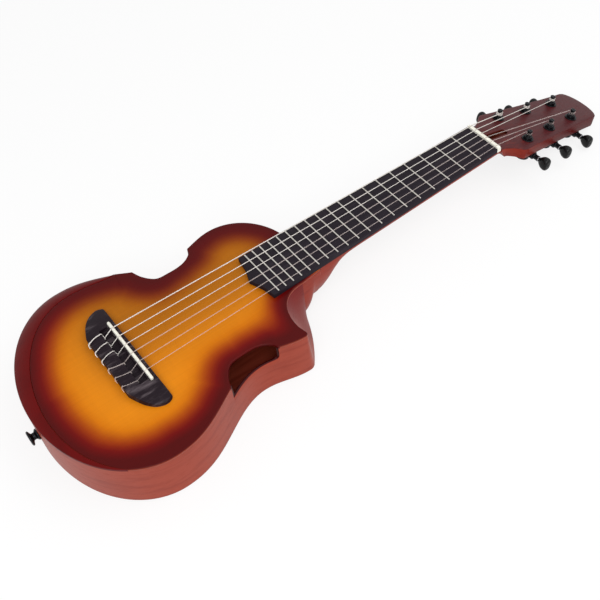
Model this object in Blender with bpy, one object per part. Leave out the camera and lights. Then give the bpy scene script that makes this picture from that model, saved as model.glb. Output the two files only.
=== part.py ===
"""A six-string guitalele lying on its flat back.

Metres, +Z up. The origin is on the back's flat face, right under the saddle. +X runs along the
neck to the headstock and +Y is the bass side. Pieces that meet keep a small seat gap.
"""

import itertools
import math

import bmesh
import bpy
import numpy as np
from mathutils import Matrix

# Scale, frets and strings
SCALE_LENGTH = 0.433
FRET_COUNT = 19
JOIN_FRET = 14
STRING_COUNT = 6
STRING_PITCH_NUT = 0.00802
STRING_PITCH_SADDLE = 0.01193
STRING_RADII = (0.00036, 0.00041, 0.00050, 0.00038, 0.00045, 0.00055)
ACTION_AT_SADDLE = 0.0055

# Clearances, and how far a cutter runs past the face that it opens
SEAT_GAP = 0.0003
FRET_GAP = 0.0001
RUN_GAP = 0.0003
STRING_GAP = 0.0003
OVERCUT = 0.002

# Body box and its outline
BODY_DEPTH = 0.057
TOP_THICK = 0.0028
BACK_THICK = 0.0025
SIDE_THICK = 0.0023
TAIL_X = -0.1027
LOWER_X = -0.020
LOWER_HALF_BASS = 0.1150
LOWER_HALF_TREBLE = 0.1125
WAIST_X = 0.088
WAIST_HALF = 0.0743
WAIST_SKEW = 1.12
UPPER_FROM_JOIN = 0.0559
UPPER_HALF = 0.0837
SHOULDER_Y = 0.018
TOP_EDGE = 0.0004
BACK_EDGE = 0.0012

# Cutaway on the treble side: a curve into the top, scooped out to a straighter edge on the back
HORN_REACH = 0.0016
HORN_RADIUS = 0.003
BACK_HORN_REACH = 0.0030
BACK_HORN_RADIUS = 0.008
RIDGE_FROM_JOIN = 0.0229
RIDGE_Y = 0.0312
CUT_LENGTH = 0.034
CUT_WIDTH = 0.039
CUT_POWER = 2.4
BACK_CUT_BOW = 0.0027

# Arm bevel round the bass side and the tail
BEVEL_WIDTH = 0.017
BEVEL_SLOPE = 0.32
BEVEL_THICK = 0.003
BEVEL_CROWN = 0.0007
BEVEL_LEAST = 0.002
BEVEL_PEAK = 0.625
BEVEL_START_X = 0.036
BEVEL_END_X = -0.058

# Sound ports, one at each side of the waist
PORT_START = 0.0498
PORT_END = 0.1082
PORT_INNER = 0.0631
PORT_DEPTH = 0.0172
PORT_CORNER = 0.005

# Share of a port's length, and how far outside PORT_INNER its edge lies there
PORT_CURVE = (
    (0.0, 0.0261), (0.09, 0.0124), (0.25, 0.0017), (0.47, 0.0),
    (0.68, 0.0004), (0.83, 0.0030), (0.955, 0.0085), (1.0, 0.0160),
)

# Blocks, braces and bridge plate
NECK_BLOCK_LENGTH = 0.0195
NECK_BLOCK_HALF = 0.0280
TAIL_BLOCK_LENGTH = 0.014
TAIL_BLOCK_HALF = 0.030
BRACE_WIDTH = 0.007
BRACE_HEIGHT = 0.008
BRACE_END_HEIGHT = 0.003
BRACE_CHAMFER = 0.0015
TOP_BRACE_X = 0.040
TOP_BRACE_HALF = 0.078
BACK_BRACE_X = -0.020
BACK_BRACE_HALF = 0.100
PLATE_THICK = 0.002
PLATE_HALF = 0.052
PLATE_LENGTH = 0.040

# Bridge and saddle
BRIDGE_FRONT = 0.0050
BRIDGE_REAR = -0.0246
BRIDGE_HALF = 0.0645
BRIDGE_BLOCK_HALF = 0.0372
BRIDGE_HEIGHT = 0.0082
BRIDGE_TIP_HEIGHT = 0.0036
BRIDGE_SOFT = 0.0012
BRIDGE_TIP_SOFT = 0.0020
WING_FLARE = 0.0010
WING_SWEEP = 0.36
WING_SWEEP_TIP = 0.26
WING_TIP_SHARE = 0.06
WING_TIP_FRONT = 0.0050
WING_TIP_REAR = 0.0030
TIE_SLOT_FRONT = -0.0029
TIE_SLOT_REAR = -0.0115
TIE_SLOT_FLOOR = 0.0020
TIE_HOLE_RADIUS = 0.0011
TIE_HOLE_HEIGHT = 0.0041
TIE_SPREAD = 0.0029
SADDLE_THICK = 0.0030
SADDLE_HALF = 0.0400
SADDLE_SINK = 0.0040

# Neck, fretboard, nut and truss rod
BOARD_THICK = 0.0051
BOARD_HALF_NUT = 0.0234
BOARD_HALF_END = 0.0298
BOARD_OVERHANG = 0.0065
BOARD_POINT = 0.0080
FRET_CROWN = 0.0010
FRET_WIDTH = 0.0021
TANG_DEPTH = 0.0016
TANG_WIDTH = 0.0005
FRET_SETBACK = 0.0004
FRET_END_LEAN = 0.0006
NECK_DEPTH = 0.0124
NECK_DEPTH_NUT = 0.0112
NECK_POWER = 2.05
HEEL_POWER = 8.05
HEEL_FRONT = 0.048
NUT_THICK = 0.0053
NUT_RISE = 0.0013
NUT_SLOT_RISE = 0.0004
NUT_SOFT = 0.0016
NUT_END_FALL = 0.0008
ROD_FROM_JOIN = 0.012
ROD_WIDTH = 0.0058
ROD_HEIGHT = 0.0070
ROD_NUT_RADIUS = 0.0028
ROD_NUT_LENGTH = 0.006
ROD_KEY_RADIUS = 0.0015
ROD_KEY_DEPTH = 0.004

# The heel's sweep: places from the body's end in heel lengths, and how much of its drop is left
HEEL_PLACES = (-1.0, -0.24, 0.0, 0.13, 0.29, 0.44, 0.58, 0.76, 1.0, 1.3)
HEEL_DROPS = (1.0, 1.0, 1.0, 0.955, 0.77, 0.455, 0.19, 0.04, 0.0, 0.0)

# Headstock, tilted back from the nut
HEAD_TILT = math.radians(13.9)
FACE_RISE = 0.003
HEAD_THICK = 0.0127
HEAD_LENGTH = 0.1687
HEAD_SHOULDER = 0.0335
HEAD_SHOULDER_HALF = 0.0363
HEAD_TIP_HALF = 0.0270
HEAD_TIP_ARC = 0.0108
HEAD_START_LEAN = 0.009
HEAD_UNDERLAP = 0.0105
HEAD_BITE = 0.002
POCKET_HALF = 0.0045
POCKET_END = 0.038
POCKET_FLOOR = 0.0088
POST_FIRST = 0.0484
POST_STEP = 0.04045
POST_OFFSETS = (0.0225, 0.0184, 0.0154)

# Shares of the way from the nut to the shoulder, and of the widening, along the headstock's flare
HEAD_FLARE = ((0.0, 0.0), (0.24, 0.05), (0.60, 0.42), (0.85, 0.86), (1.0, 1.0))

# Tuning machine: a worm on the key turns a gear on the post
GEAR_TEETH = 14
GEAR_MODULE = 0.00072
GEAR_WIDTH = 0.0028
TOOTH_PLAY = 0.00010
WORM_PITCH_RADIUS = 0.0022
WORM_TURNS = 2.5
WORM_STEPS = 12
WORM_LEVEL = 0.0178
GEAR_PHASE = -0.25
PIVOT_LENGTH = 0.0024
PIVOT_RADIUS = 0.0017
PIN_LENGTH = 0.0018
PIN_RADIUS = 0.0012
CAN_WALL = 0.0016
CAN_BELOW = 0.0035
CAN_SOFT = 0.0012
BARREL_RADIUS = 0.0046
BARREL_END = 0.0105
SLEEVE_RADIUS = 0.0029
SLEEVE_END = 0.0170
KEY_RADIUS = 0.0018
KEY_COLLAR_RADIUS = 0.0025
KNOB_START = 0.0194
KNOB_LENGTH = 0.0122
KNOB_WIDTH = 0.0148
KNOB_THICK = 0.0100
KNOB_SHAPE = ((0.0, 0.50, 0.6), (0.35, 0.88, 0.92), (0.68, 1.0, 1.0), (0.90, 0.86, 0.9), (1.0, 0.55, 0.6))
POST_RADIUS = 0.0029
POST_WAIST = 0.0024
POST_TOP = 0.0110
BUSH_RADIUS = 0.0046
WASHER_RADIUS = 0.0066
WASHER_THICK = 0.0010
HEX_RADIUS = 0.0056
BUSH_TOP = 0.0042
WIND_TURNS = 1.75
WIND_GAP = 0.00043
WIND_TOP = 0.0085
WIND_STEPS = 12
POST_CAP = 0.0013
STRING_HOLE_RADIUS = 0.0009

# Strap button at the tail
BUTTON_RADIUS = 0.0073
BUTTON_BASE_RADIUS = 0.0056
BUTTON_WAIST = 0.0034
BUTTON_LENGTH = 0.0090
BUTTON_HEIGHT = 0.0312
SHANK_RADIUS = 0.0018
SHANK_LENGTH = 0.012

TOP_Z = BODY_DEPTH
BOARD_Z = TOP_Z + SEAT_GAP
BOARD_TOP = BOARD_Z + BOARD_THICK
FRET_PLANE = BOARD_TOP + FRET_GAP + FRET_CROWN
INNER_TOP = TOP_Z - TOP_THICK - SEAT_GAP
INNER_BACK = BACK_THICK + SEAT_GAP
JOIN_X = SCALE_LENGTH * 2 ** (-JOIN_FRET / 12)
LAST_FRET_X = SCALE_LENGTH * 2 ** (-FRET_COUNT / 12)
UPPER_X = JOIN_X - UPPER_FROM_JOIN
RIDGE_X = JOIN_X - RIDGE_FROM_JOIN
HEAD = Matrix.Translation((SCALE_LENGTH, 0, TOP_Z + FACE_RISE)) @ Matrix.Rotation(HEAD_TILT, 4, "Y")
GEAR_PITCH_RADIUS = GEAR_TEETH * GEAR_MODULE / 2
WORM_OFFSET = GEAR_PITCH_RADIUS + WORM_PITCH_RADIUS
TOOTH_PITCH = math.pi * GEAR_MODULE
TOOTH_TALL = 0.85 * GEAR_MODULE
TOOTH_DEEP = 1.10 * GEAR_MODULE
TOOTH_SLOPE = math.tan(math.radians(20))
GEAR_LOW = -WORM_LEVEL - GEAR_WIDTH / 2
GEAR_HIGH = -WORM_LEVEL + GEAR_WIDTH / 2
WORM_END = TOOTH_PITCH * (WORM_TURNS / 2 + 0.62)
KEY_BORE_START = BARREL_END - 0.0015


def clear_scene():
    for obj in list(bpy.data.objects):
        bpy.data.objects.remove(obj, do_unlink=True)


def make_material(name, color, roughness, metallic=0.0):
    material = bpy.data.materials.new(name)
    material.use_nodes = True
    shader = material.node_tree.nodes["Principled BSDF"]
    shader.inputs["Base Color"].default_value = (*color, 1.0)
    shader.inputs["Roughness"].default_value = roughness
    shader.inputs["Metallic"].default_value = metallic
    material.diffuse_color = (*color, 1.0)
    return material


def mesh_from(name, points, faces):
    """A mesh of these points and faces with its normals turned outwards."""
    mesh = bpy.data.meshes.new(name)
    mesh.from_pydata([tuple(p) for p in points], [], [tuple(f) for f in faces])
    bm = bmesh.new()
    bm.from_mesh(mesh)
    bmesh.ops.recalc_face_normals(bm, faces=bm.faces)
    bm.to_mesh(mesh)
    bm.free()
    return mesh


def add_object(name, mesh, material=None, matrix=None, round_piece=False):
    obj = bpy.data.objects.new(name, mesh)
    bpy.context.scene.collection.objects.link(obj)
    if matrix is not None:
        obj.matrix_world = matrix
    if material is not None:
        mesh.materials.clear()
        mesh.materials.append(material)
    if round_piece:
        mesh.shade_smooth()
        mesh.set_sharp_from_angle(angle=math.radians(35))
    return obj


def add_tool(name, mesh, matrix=None):
    """A cutter or a piece to be joined: hidden, and drawn as wire."""
    obj = add_object(name, mesh, matrix=matrix)
    obj.hide_render = True
    obj.display_type = "WIRE"
    return obj


def combine(obj, tool, operation="DIFFERENCE"):
    modifier = obj.modifiers.new(tool.name, "BOOLEAN")
    modifier.operation = operation
    modifier.solver = "EXACT"
    modifier.object = tool


def baked(obj, name):
    """The object's mesh with its modifiers applied; the object becomes a hidden guide."""
    graph = bpy.context.evaluated_depsgraph_get()
    graph.update()
    mesh = bpy.data.meshes.new_from_object(obj.evaluated_get(graph))
    mesh.name = name
    obj.hide_render = True
    obj.display_type = "WIRE"
    return mesh


def mirrored(mesh, name):
    """A copy of the mesh mirrored in Y, its faces still outwards."""
    copy = mesh.copy()
    copy.name = name
    copy.transform(Matrix.Diagonal((1, -1, 1, 1)))
    copy.flip_normals()
    return copy


def loft(name, rings):
    """A closed solid through rings of equal point count, with a flat cap at each end."""
    rings = np.asarray(rings, dtype=float)
    count, size = rings.shape[:2]
    faces = [list(range(size)), [(count - 1) * size + i for i in range(size)]]
    for r in range(count - 1):
        for i in range(size):
            j = (i + 1) % size
            faces.append([r * size + i, r * size + j, (r + 1) * size + j, (r + 1) * size + i])
    return mesh_from(name, rings.reshape(-1, 3), faces)


def prism(name, outline, low, high):
    """An outline in X and Y carried from one height to another."""
    return loft(name, [[(x, y, z) for x, y in outline] for z in (low, high)])


def box(name, low, high):
    (x0, y0, z0), (x1, y1, z1) = low, high
    return prism(name, [(x0, y0), (x1, y0), (x1, y1), (x0, y1)], z0, z1)


def boxes(name, corners):
    """Several apart boxes in one mesh, for a cutter."""
    points = []
    faces = []
    for low, high in corners:
        start = len(points)
        points += itertools.product(*zip(low, high))
        sides = ((0, 1, 3, 2), (4, 6, 7, 5), (0, 4, 5, 1), (2, 3, 7, 6), (0, 2, 6, 4), (1, 5, 7, 3))
        faces += [[start + k for k in side] for side in sides]
    return mesh_from(name, points, faces)


def turned(name, profile, steps, axis="Z"):
    """A profile of (place, radius) turned about an axis through the origin, capped at both ends."""
    angles = np.arange(steps) * 2 * math.pi / steps
    rings = []
    for place, radius in profile:
        across = radius * np.cos(angles)
        up = radius * np.sin(angles)
        along = np.full(steps, place)
        columns = {"X": (along, across, up), "Y": (across, along, up), "Z": (across, up, along)}[axis]
        rings.append(np.stack(columns, axis=1))
    return loft(name, rings)


def arc(center, semi, start, end, steps):
    """Points of an ellipse's arc between two angles in degrees."""
    angles = np.radians(np.linspace(start, end, steps + 1))
    return np.stack([center[0] + semi[0] * np.cos(angles), center[1] + semi[1] * np.sin(angles)], axis=1)


def smooth(points, per_span):
    """A Catmull-Rom curve through the points."""
    points = np.asarray(points, dtype=float)
    padded = np.vstack([2 * points[0] - points[1], points, 2 * points[-1] - points[-2]])
    result = []
    for a, b, c, d in zip(padded, padded[1:], padded[2:], padded[3:]):
        for t in np.arange(per_span) / per_span:
            line = 2 * b + (c - a) * t + (2 * a - 5 * b + 4 * c - d) * t**2
            result.append(0.5 * (line + (3 * b - 3 * c + d - a) * t**3))
    return np.array(result + [points[-1]])


def inset(points, distance, closed, inward):
    """Each point moved square to the outline; inward is +1 where inside lies left of the path."""
    points = np.asarray(points, dtype=float)
    if closed:
        before = points - np.roll(points, 1, axis=0)
        after = np.roll(points, -1, axis=0) - points
    else:
        steps = np.diff(points, axis=0)
        before = np.vstack([steps[:1], steps])
        after = np.vstack([steps, steps[-1:]])
    before /= np.linalg.norm(before, axis=1)[:, None]
    after /= np.linalg.norm(after, axis=1)[:, None]
    way = before + after
    way /= np.linalg.norm(way, axis=1)[:, None]
    stretch = np.maximum((before * way).sum(axis=1), 0.35)
    normal = np.stack([-way[:, 1], way[:, 0]], axis=1) * inward
    return points + normal * (np.asarray(distance) / stretch)[..., None]


def fillet(before, corner, after, radius, steps):
    """The arc that rounds a corner."""
    before, corner, after = (np.asarray(p, dtype=float) for p in (before, corner, after))
    into = (before - corner) / np.linalg.norm(before - corner)
    out = (after - corner) / np.linalg.norm(after - corner)
    half = math.acos(float(into @ out)) / 2
    middle = corner + (into + out) / np.linalg.norm(into + out) * radius / math.sin(half)
    first = corner + into * radius / math.tan(half) - middle
    last = corner + out * radius / math.tan(half) - middle
    turns = np.linspace(0, 1, steps + 1)[:, None]
    fan = first * (1 - turns) + last * turns
    return middle + fan / np.linalg.norm(fan, axis=1)[:, None] * radius


def fret_x(number):
    return SCALE_LENGTH * 2 ** (-number / 12)


def board_half(x):
    """Half the fretboard's width at x."""
    slope = (BOARD_HALF_END - BOARD_HALF_NUT) / (SCALE_LENGTH - LAST_FRET_X)
    return BOARD_HALF_NUT + (SCALE_LENGTH - x) * slope


def heel_half(x):
    """Half the neck's width: the fretboard's, spreading in the body to meet the cutaway's ridge."""
    spread = np.clip((JOIN_X - x) / RIDGE_FROM_JOIN, 0, 1)
    return board_half(x) + (RIDGE_Y - SEAT_GAP - board_half(RIDGE_X)) * spread


def bout(half):
    """The outline from the tail to the upper bout's widest place, at positive Y."""
    rear = arc((LOWER_X, 0), (LOWER_X - TAIL_X, half), 180, 90, 15)
    t = np.linspace(0, 1, 10)[1:]
    middle = (half + WAIST_HALF) / 2 + (half - WAIST_HALF) / 2 * np.cos(math.pi * t**WAIST_SKEW)
    front = np.stack([LOWER_X + (WAIST_X - LOWER_X) * t, middle], axis=1)
    t = np.linspace(0, 1, 7)[1:]
    rise = (WAIST_HALF + UPPER_HALF) / 2 + (WAIST_HALF - UPPER_HALF) / 2 * np.cos(math.pi * t)
    upper = np.stack([WAIST_X + (UPPER_X - WAIST_X) * t, rise], axis=1)
    return np.vstack([rear, front, upper])


def bass_outline():
    """The bass side from the tail round the shoulder to the heel."""
    semi = (JOIN_X - UPPER_X, UPPER_HALF - SHOULDER_Y)
    heel = heel_half(JOIN_X - SIDE_THICK) + SEAT_GAP
    end = math.degrees(math.asin((heel - SHOULDER_Y) / semi[1]))
    shoulder = arc((UPPER_X, SHOULDER_Y), semi, 90, end, 8)
    return np.vstack([bout(LOWER_HALF_BASS), shoulder[1:]])


def top_cut():
    """The cutaway's edge on the top: a quarter of a squarish ellipse from the horn to the ridge."""
    angles = np.radians(np.linspace(180, 90, 9))
    along = np.abs(np.cos(angles)) ** (2 / CUT_POWER)
    across = np.abs(np.sin(angles)) ** (2 / CUT_POWER)
    return np.stack([RIDGE_X - CUT_LENGTH * along, RIDGE_Y + CUT_WIDTH * (1 - across)], axis=1)


def back_cut():
    """The cutaway's edge on the back: a slightly bowed line from the horn to the ridge."""
    corner = np.array([UPPER_X + BACK_HORN_REACH, UPPER_HALF])
    chord = np.array([RIDGE_X, RIDGE_Y]) - corner
    outwards = np.array([-chord[1], chord[0]]) / np.linalg.norm(chord)
    u = np.linspace(0.12, 1, 9)[:, None]
    return corner + chord * u + outwards * BACK_CUT_BOW * 4 * u * (1 - u)


def treble_outline(reach, radius, cut):
    """The treble side from the tail round the horn and the cutaway to the ridge, at negative Y."""
    outline = bout(LOWER_HALF_TREBLE)[:-1]
    tip = fillet(outline[-1], (UPPER_X + reach, UPPER_HALF), cut[0], radius, 4)
    return np.vstack([outline, tip, cut]) * (1, -1)


BASS = bass_outline()
TREBLE = treble_outline(HORN_REACH, HORN_RADIUS, top_cut())
TREBLE_BACK = treble_outline(BACK_HORN_REACH, BACK_HORN_RADIUS, back_cut())


def bevel_widths():
    """(width at each bass point, width at each treble point) of the arm bevel.

    The width rises from nothing on the bass waist to its peak at the bass rear and dies on the
    treble rear. It is zero where it would be under its least width.
    """
    path = np.vstack([BASS[::-1], TREBLE[1:]])
    run = np.concatenate([[0], np.cumsum(np.linalg.norm(np.diff(path, axis=0), axis=1))])
    on_bass = path[:, 1] > 0
    starts = run[on_bass & (path[:, 0] <= BEVEL_START_X)][0]
    ends = run[~on_bass & (path[:, 0] <= BEVEL_END_X)][-1]
    u = np.clip((run - starts) / (ends - starts), 0, 1)
    width = BEVEL_WIDTH * np.sin(math.pi * u**BEVEL_PEAK)
    width = np.where(width < BEVEL_LEAST, 0, width)
    return width[: len(BASS)][::-1], width[len(BASS) - 1 :]


BEVEL_BASS, BEVEL_TREBLE = bevel_widths()


def plate_outline(bass, treble, heel_end):
    """One closed outline: the bass side, the end at the neck and the treble side back again."""
    return np.vstack([bass, heel_end, treble[::-1][:-1]])


def edged_plate(name, outline, rings, material):
    """A plate whose rings of (height, inset) follow one outline."""
    layers = []
    for height, shrink in rings:
        ring = inset(outline, np.full(len(outline), shrink), True, -1)
        layers.append(np.column_stack([ring, np.full(len(ring), height)]))
    return add_object(name, loft(name, layers), material)


def port_tool(side):
    """The cutter of a sound port: through the top's edge and the upper part of the side."""
    length = PORT_END - PORT_START
    curve = smooth([(PORT_START + share * length, PORT_INNER + out) for share, out in PORT_CURVE], 4)
    outline = np.vstack([curve, [(PORT_END, LOWER_HALF_BASS), (PORT_START, LOWER_HALF_BASS)]])
    floor = TOP_Z - PORT_DEPTH
    bend = 3 * PORT_CORNER
    rings = []
    for rise, tuck in ((0.0, 1.0), (0.3 * PORT_CORNER, 0.3), (PORT_CORNER, 0.0), (PORT_DEPTH + OVERCUT, 0.0)):
        near_end = np.clip((outline[:, 0] - (PORT_END - bend)) / bend, 0, 1)
        places = outline[:, 0] - near_end * tuck * PORT_CORNER
        rings.append(np.column_stack([places, outline[:, 1] * side, np.full(len(outline), floor + rise)]))
    return add_tool("port_tool_bass" if side > 0 else "port_tool_treble", loft("port_tool", rings))


def make_top(material, ports):
    bass = inset(BASS, np.where(BEVEL_BASS > 0, BEVEL_BASS + SEAT_GAP, 0), False, -1)
    treble = inset(TREBLE, np.where(BEVEL_TREBLE > 0, BEVEL_TREBLE + SEAT_GAP, 0), False, 1)
    bass[0, 1] = 0
    heel_end = [(JOIN_X, BASS[-1, 1]), (JOIN_X, -heel_half(JOIN_X))]
    outline = plate_outline(bass, treble, heel_end)
    rings = ((TOP_Z - TOP_THICK, 0.0), (TOP_Z - TOP_EDGE, 0.0), (TOP_Z, TOP_EDGE))
    top = edged_plate("top_plate", outline, rings, material)
    for port in ports:
        combine(top, port)


def make_back(material):
    slot = heel_half(RIDGE_X) + SEAT_GAP
    heel_end = [(RIDGE_X, slot), (RIDGE_X, SEAT_GAP - slot)]
    outline = plate_outline(BASS, TREBLE_BACK[:-1], heel_end)
    rings = ((0.0, BACK_EDGE), (BACK_EDGE, 0.0), (BACK_THICK, 0.0))
    edged_plate("back_plate", outline, rings, material)


def wall_lines(outline, inward):
    """A side's outer and inner line in plan, with half a seat gap to the other side at the tail."""
    outer = outline.copy()
    outer[0, 1] = -inward * SEAT_GAP / 2
    inner = inset(outer, np.full(len(outer), SIDE_THICK), False, inward)
    inner[0, 1] = outer[0, 1]
    if inward < 0:
        inner[-1] = outer[-1] - (SIDE_THICK, 0)
    return outer, inner


def make_side(name, outline, foot, widths, inward, material, port):
    """A bent side from its foot on the back to its top edge, which drops under the arm bevel."""
    top = TOP_Z - SEAT_GAP - np.where(widths > 0, widths * BEVEL_SLOPE + BEVEL_THICK, TOP_THICK)
    outer, inner = wall_lines(outline, inward)
    outer_foot, inner_foot = wall_lines(foot, inward)
    low = np.full(len(top), INNER_BACK)
    corners = ((outer_foot, low), (outer, top), (inner, top), (inner_foot, low))
    rings = np.stack([np.column_stack([line, height]) for line, height in corners], axis=1)
    side = add_object(name, loft(name, rings), material, round_piece=True)
    combine(side, port)
    return side


def make_bevel(material):
    """The arm bevel: a sloped strip from the top's crease down to the outline."""
    path = np.vstack([BASS[::-1], TREBLE[1:]])
    widths = np.concatenate([BEVEL_BASS[::-1], BEVEL_TREBLE[1:]])
    creases = inset(path, widths, False, 1)
    rings = []
    for out, crease, width in zip(path, creases, widths):
        if width == 0:
            continue
        drop = width * BEVEL_SLOPE
        middle = (out + crease) / 2
        rings.append([
            (*crease, TOP_Z),
            (*middle, TOP_Z - drop / 2 + BEVEL_CROWN * width / BEVEL_WIDTH),
            (*out, TOP_Z - drop),
            (*out, TOP_Z - drop - BEVEL_THICK),
            (*crease, TOP_Z - TOP_THICK),
        ])
    add_object("arm_bevel", loft("arm_bevel", rings), material, round_piece=True)


def make_neck_block(material):
    rear = RIDGE_X - SEAT_GAP
    low = (rear - NECK_BLOCK_LENGTH, -NECK_BLOCK_HALF, INNER_BACK)
    add_object("neck_block", box("neck_block", low, (rear, NECK_BLOCK_HALF, INNER_TOP)), material)


def make_tail_block(material):
    """The tail block: its rear face follows the inside of the sides, and it stays under the bevel."""
    front = TAIL_X + SIDE_THICK + SEAT_GAP
    half = LOWER_HALF_TREBLE - SIDE_THICK - SEAT_GAP
    curve = arc((LOWER_X, 0), (LOWER_X - front, half), 180, 90, 40)
    curve = curve[curve[:, 1] < TAIL_BLOCK_HALF]
    face = np.vstack([(curve * (1, -1))[::-1], curve[1:]])
    inside = front + TAIL_BLOCK_LENGTH
    outline = np.vstack([face, [(inside, face[-1, 1]), (inside, face[0, 1])]])
    drop = max(TOP_THICK, BEVEL_TREBLE[0] * BEVEL_SLOPE + BEVEL_THICK)
    block = prism("tail_block", outline, INNER_BACK, TOP_Z - drop - 3 * SEAT_GAP)
    return add_object("tail_block", block, material)


def make_brace(name, x, half, seat, up, material):
    """A brace across the box, on the back (up = 1) or hung under the top (up = -1), thinned at its ends."""
    left, right = x - BRACE_WIDTH / 2, x + BRACE_WIDTH / 2
    rings = []
    for place in np.linspace(-1, 1, 13):
        tall = BRACE_END_HEIGHT + (BRACE_HEIGHT - BRACE_END_HEIGHT) * (1 - abs(place) ** 3)
        y = place * half
        edge = seat + up * tall
        shoulder = edge - up * BRACE_CHAMFER
        foot = [(left, y, seat), (right, y, seat)]
        rings.append(foot + [(right, y, shoulder), (x, y, edge), (left, y, shoulder)])
    add_object(name, loft(name, rings), material)


def make_bridge_plate(material):
    middle = (BRIDGE_FRONT + BRIDGE_REAR) / 2
    low = (middle - PLATE_LENGTH / 2, -PLATE_HALF, INNER_TOP - PLATE_THICK)
    high = (middle + PLATE_LENGTH / 2, PLATE_HALF, INNER_TOP)
    add_object("bridge_plate", box("bridge_plate", low, high), material)


def string_y(number, pitch):
    """The place of string 1 (thin, treble) to 6 across the neck."""
    return (number - (STRING_COUNT + 1) / 2) * pitch


def grid_faces(start, rows, columns):
    """Quads between rings of points that start at this number."""
    faces = []
    for row in range(rows - 1):
        low = start + row * columns
        for i in range(columns):
            j = (i + 1) % columns
            faces.append([low + i, low + j, low + columns + j, low + columns + i])
    return faces


def cylinders_along_x(name, places, height, radius, start, end):
    """Apart cylinders along X in one mesh, for a cutter."""
    points = []
    faces = []
    steps = 8
    angles = np.arange(steps) * 2 * math.pi / steps
    for y in places:
        base = len(points)
        for x in (start, end):
            points += [(x, y + radius * math.cos(a), height + radius * math.sin(a)) for a in angles]
        faces += [list(range(base, base + steps)), list(range(base + steps, base + 2 * steps))]
        faces += grid_faces(base, 2, steps)
    return mesh_from(name, points, faces)


def bridge_ring(y):
    """A section of the bridge: full in the middle, lower and drawn in at the rear along a wing."""
    wing = np.clip((abs(y) - BRIDGE_BLOCK_HALF) / (BRIDGE_HALF - BRIDGE_BLOCK_HALF), 0, 1)
    tip = max(0, (abs(y) / BRIDGE_HALF - 1 + WING_TIP_SHARE) / WING_TIP_SHARE) ** 2
    sweep = WING_SWEEP * wing + WING_SWEEP_TIP * wing**4
    front = BRIDGE_FRONT + WING_FLARE * wing - WING_TIP_FRONT * tip
    rear = BRIDGE_REAR + (BRIDGE_FRONT - BRIDGE_REAR) * sweep + WING_TIP_REAR * tip
    soft = BRIDGE_SOFT + (BRIDGE_TIP_SOFT - BRIDGE_SOFT) * wing
    base = TOP_Z + SEAT_GAP
    high = base + BRIDGE_HEIGHT + (BRIDGE_TIP_HEIGHT - BRIDGE_HEIGHT) * wing**1.6
    return [
        (rear, y, base),
        (front, y, base),
        (front, y, high - soft),
        (front - soft, y, high),
        (rear + soft, y, high),
        (rear, y, high - soft),
    ]


def make_bridge(material):
    """The bridge: a tie block and saddle bed in the middle and thinner rounded wings."""
    shares = np.array([-1, -0.99, -0.97, -0.94, -0.86, -0.77, -0.68, -0.62, -0.575, -0.3, 0])
    places = np.concatenate([shares, -shares[-2::-1]]) * BRIDGE_HALF
    bridge = add_object("bridge", loft("bridge", [bridge_ring(y) for y in places]), material)
    base = TOP_Z + SEAT_GAP
    top = base + BRIDGE_HEIGHT
    bed = SADDLE_THICK / 2 + SEAT_GAP
    bed_half = SADDLE_HALF + SEAT_GAP
    slots = boxes("bridge_slots", [
        (
            (TIE_SLOT_REAR, -BRIDGE_BLOCK_HALF, base + TIE_SLOT_FLOOR),
            (TIE_SLOT_FRONT, BRIDGE_BLOCK_HALF, top + OVERCUT),
        ),
        ((-bed, -bed_half, top - SADDLE_SINK - SEAT_GAP), (bed, bed_half, top + OVERCUT)),
    ])
    combine(bridge, add_tool("bridge_slot_tool", slots))
    places = [string_y(n, STRING_PITCH_SADDLE) for n in range(1, STRING_COUNT + 1)]
    start, end = BRIDGE_REAR - OVERCUT, TIE_SLOT_REAR + OVERCUT
    holes = cylinders_along_x("tie_holes", places, base + TIE_HOLE_HEIGHT, TIE_HOLE_RADIUS, start, end)
    combine(bridge, add_tool("tie_hole_tool", holes))


def make_saddle(material):
    """The saddle: round ends in plan and a crown that closes in."""
    low = TOP_Z + SEAT_GAP + BRIDGE_HEIGHT - SADDLE_SINK
    high = FRET_PLANE + ACTION_AT_SADDLE - max(STRING_RADII) - STRING_GAP
    half = SADDLE_THICK / 2
    end = arc((0, SADDLE_HALF - half), (half, half), 0, 180, 4)
    outline = np.vstack([end, -end])
    rings = []
    for height, share in ((low, 1.0), (high - half, 1.0), (high - 0.4 * half, 0.72), (high, 0.2)):
        shrink = half * (1 - share)
        rings.append([(x * share, y - math.copysign(shrink, y), height) for x, y in outline])
    add_object("saddle", loft("saddle", rings), material, round_piece=True)


def neck_floor(x):
    """The height of the neck's underside along its middle, with the heel's sweep near the body."""
    taper = np.clip((x - JOIN_X - HEEL_FRONT) / (SCALE_LENGTH - JOIN_X - HEEL_FRONT), 0, 1)
    depth = NECK_DEPTH + (NECK_DEPTH_NUT - NECK_DEPTH) * taper
    share = float(np.interp((x - JOIN_X) / HEEL_FRONT, HEEL_PLACES, HEEL_DROPS))
    return TOP_Z - depth - (TOP_Z - SEAT_GAP - depth) * share


def neck_ring(x, top, shrink=1.0):
    """A section across the neck: flat on top and round below. The heel fills its notch on the bass side."""
    half = heel_half(x) * shrink
    low = neck_floor(x)
    squarer = HEEL_POWER - NECK_POWER
    bass = NECK_POWER + squarer * np.clip((JOIN_X + 0.001 - x) / 0.008, 0, 1)
    treble = NECK_POWER + squarer * np.clip((JOIN_X - 0.006 - x) / 0.015, 0, 1)
    angles = np.radians(np.linspace(0, 180, 13))
    power = np.where(angles < math.pi / 2, bass, treble)
    across = half * np.sign(np.cos(angles)) * np.abs(np.cos(angles)) ** (2 / power)
    down = np.abs(np.sin(angles)) ** (2 / power)
    return np.stack([np.full(13, x), across, top - (top - low) * down], axis=1)


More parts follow.
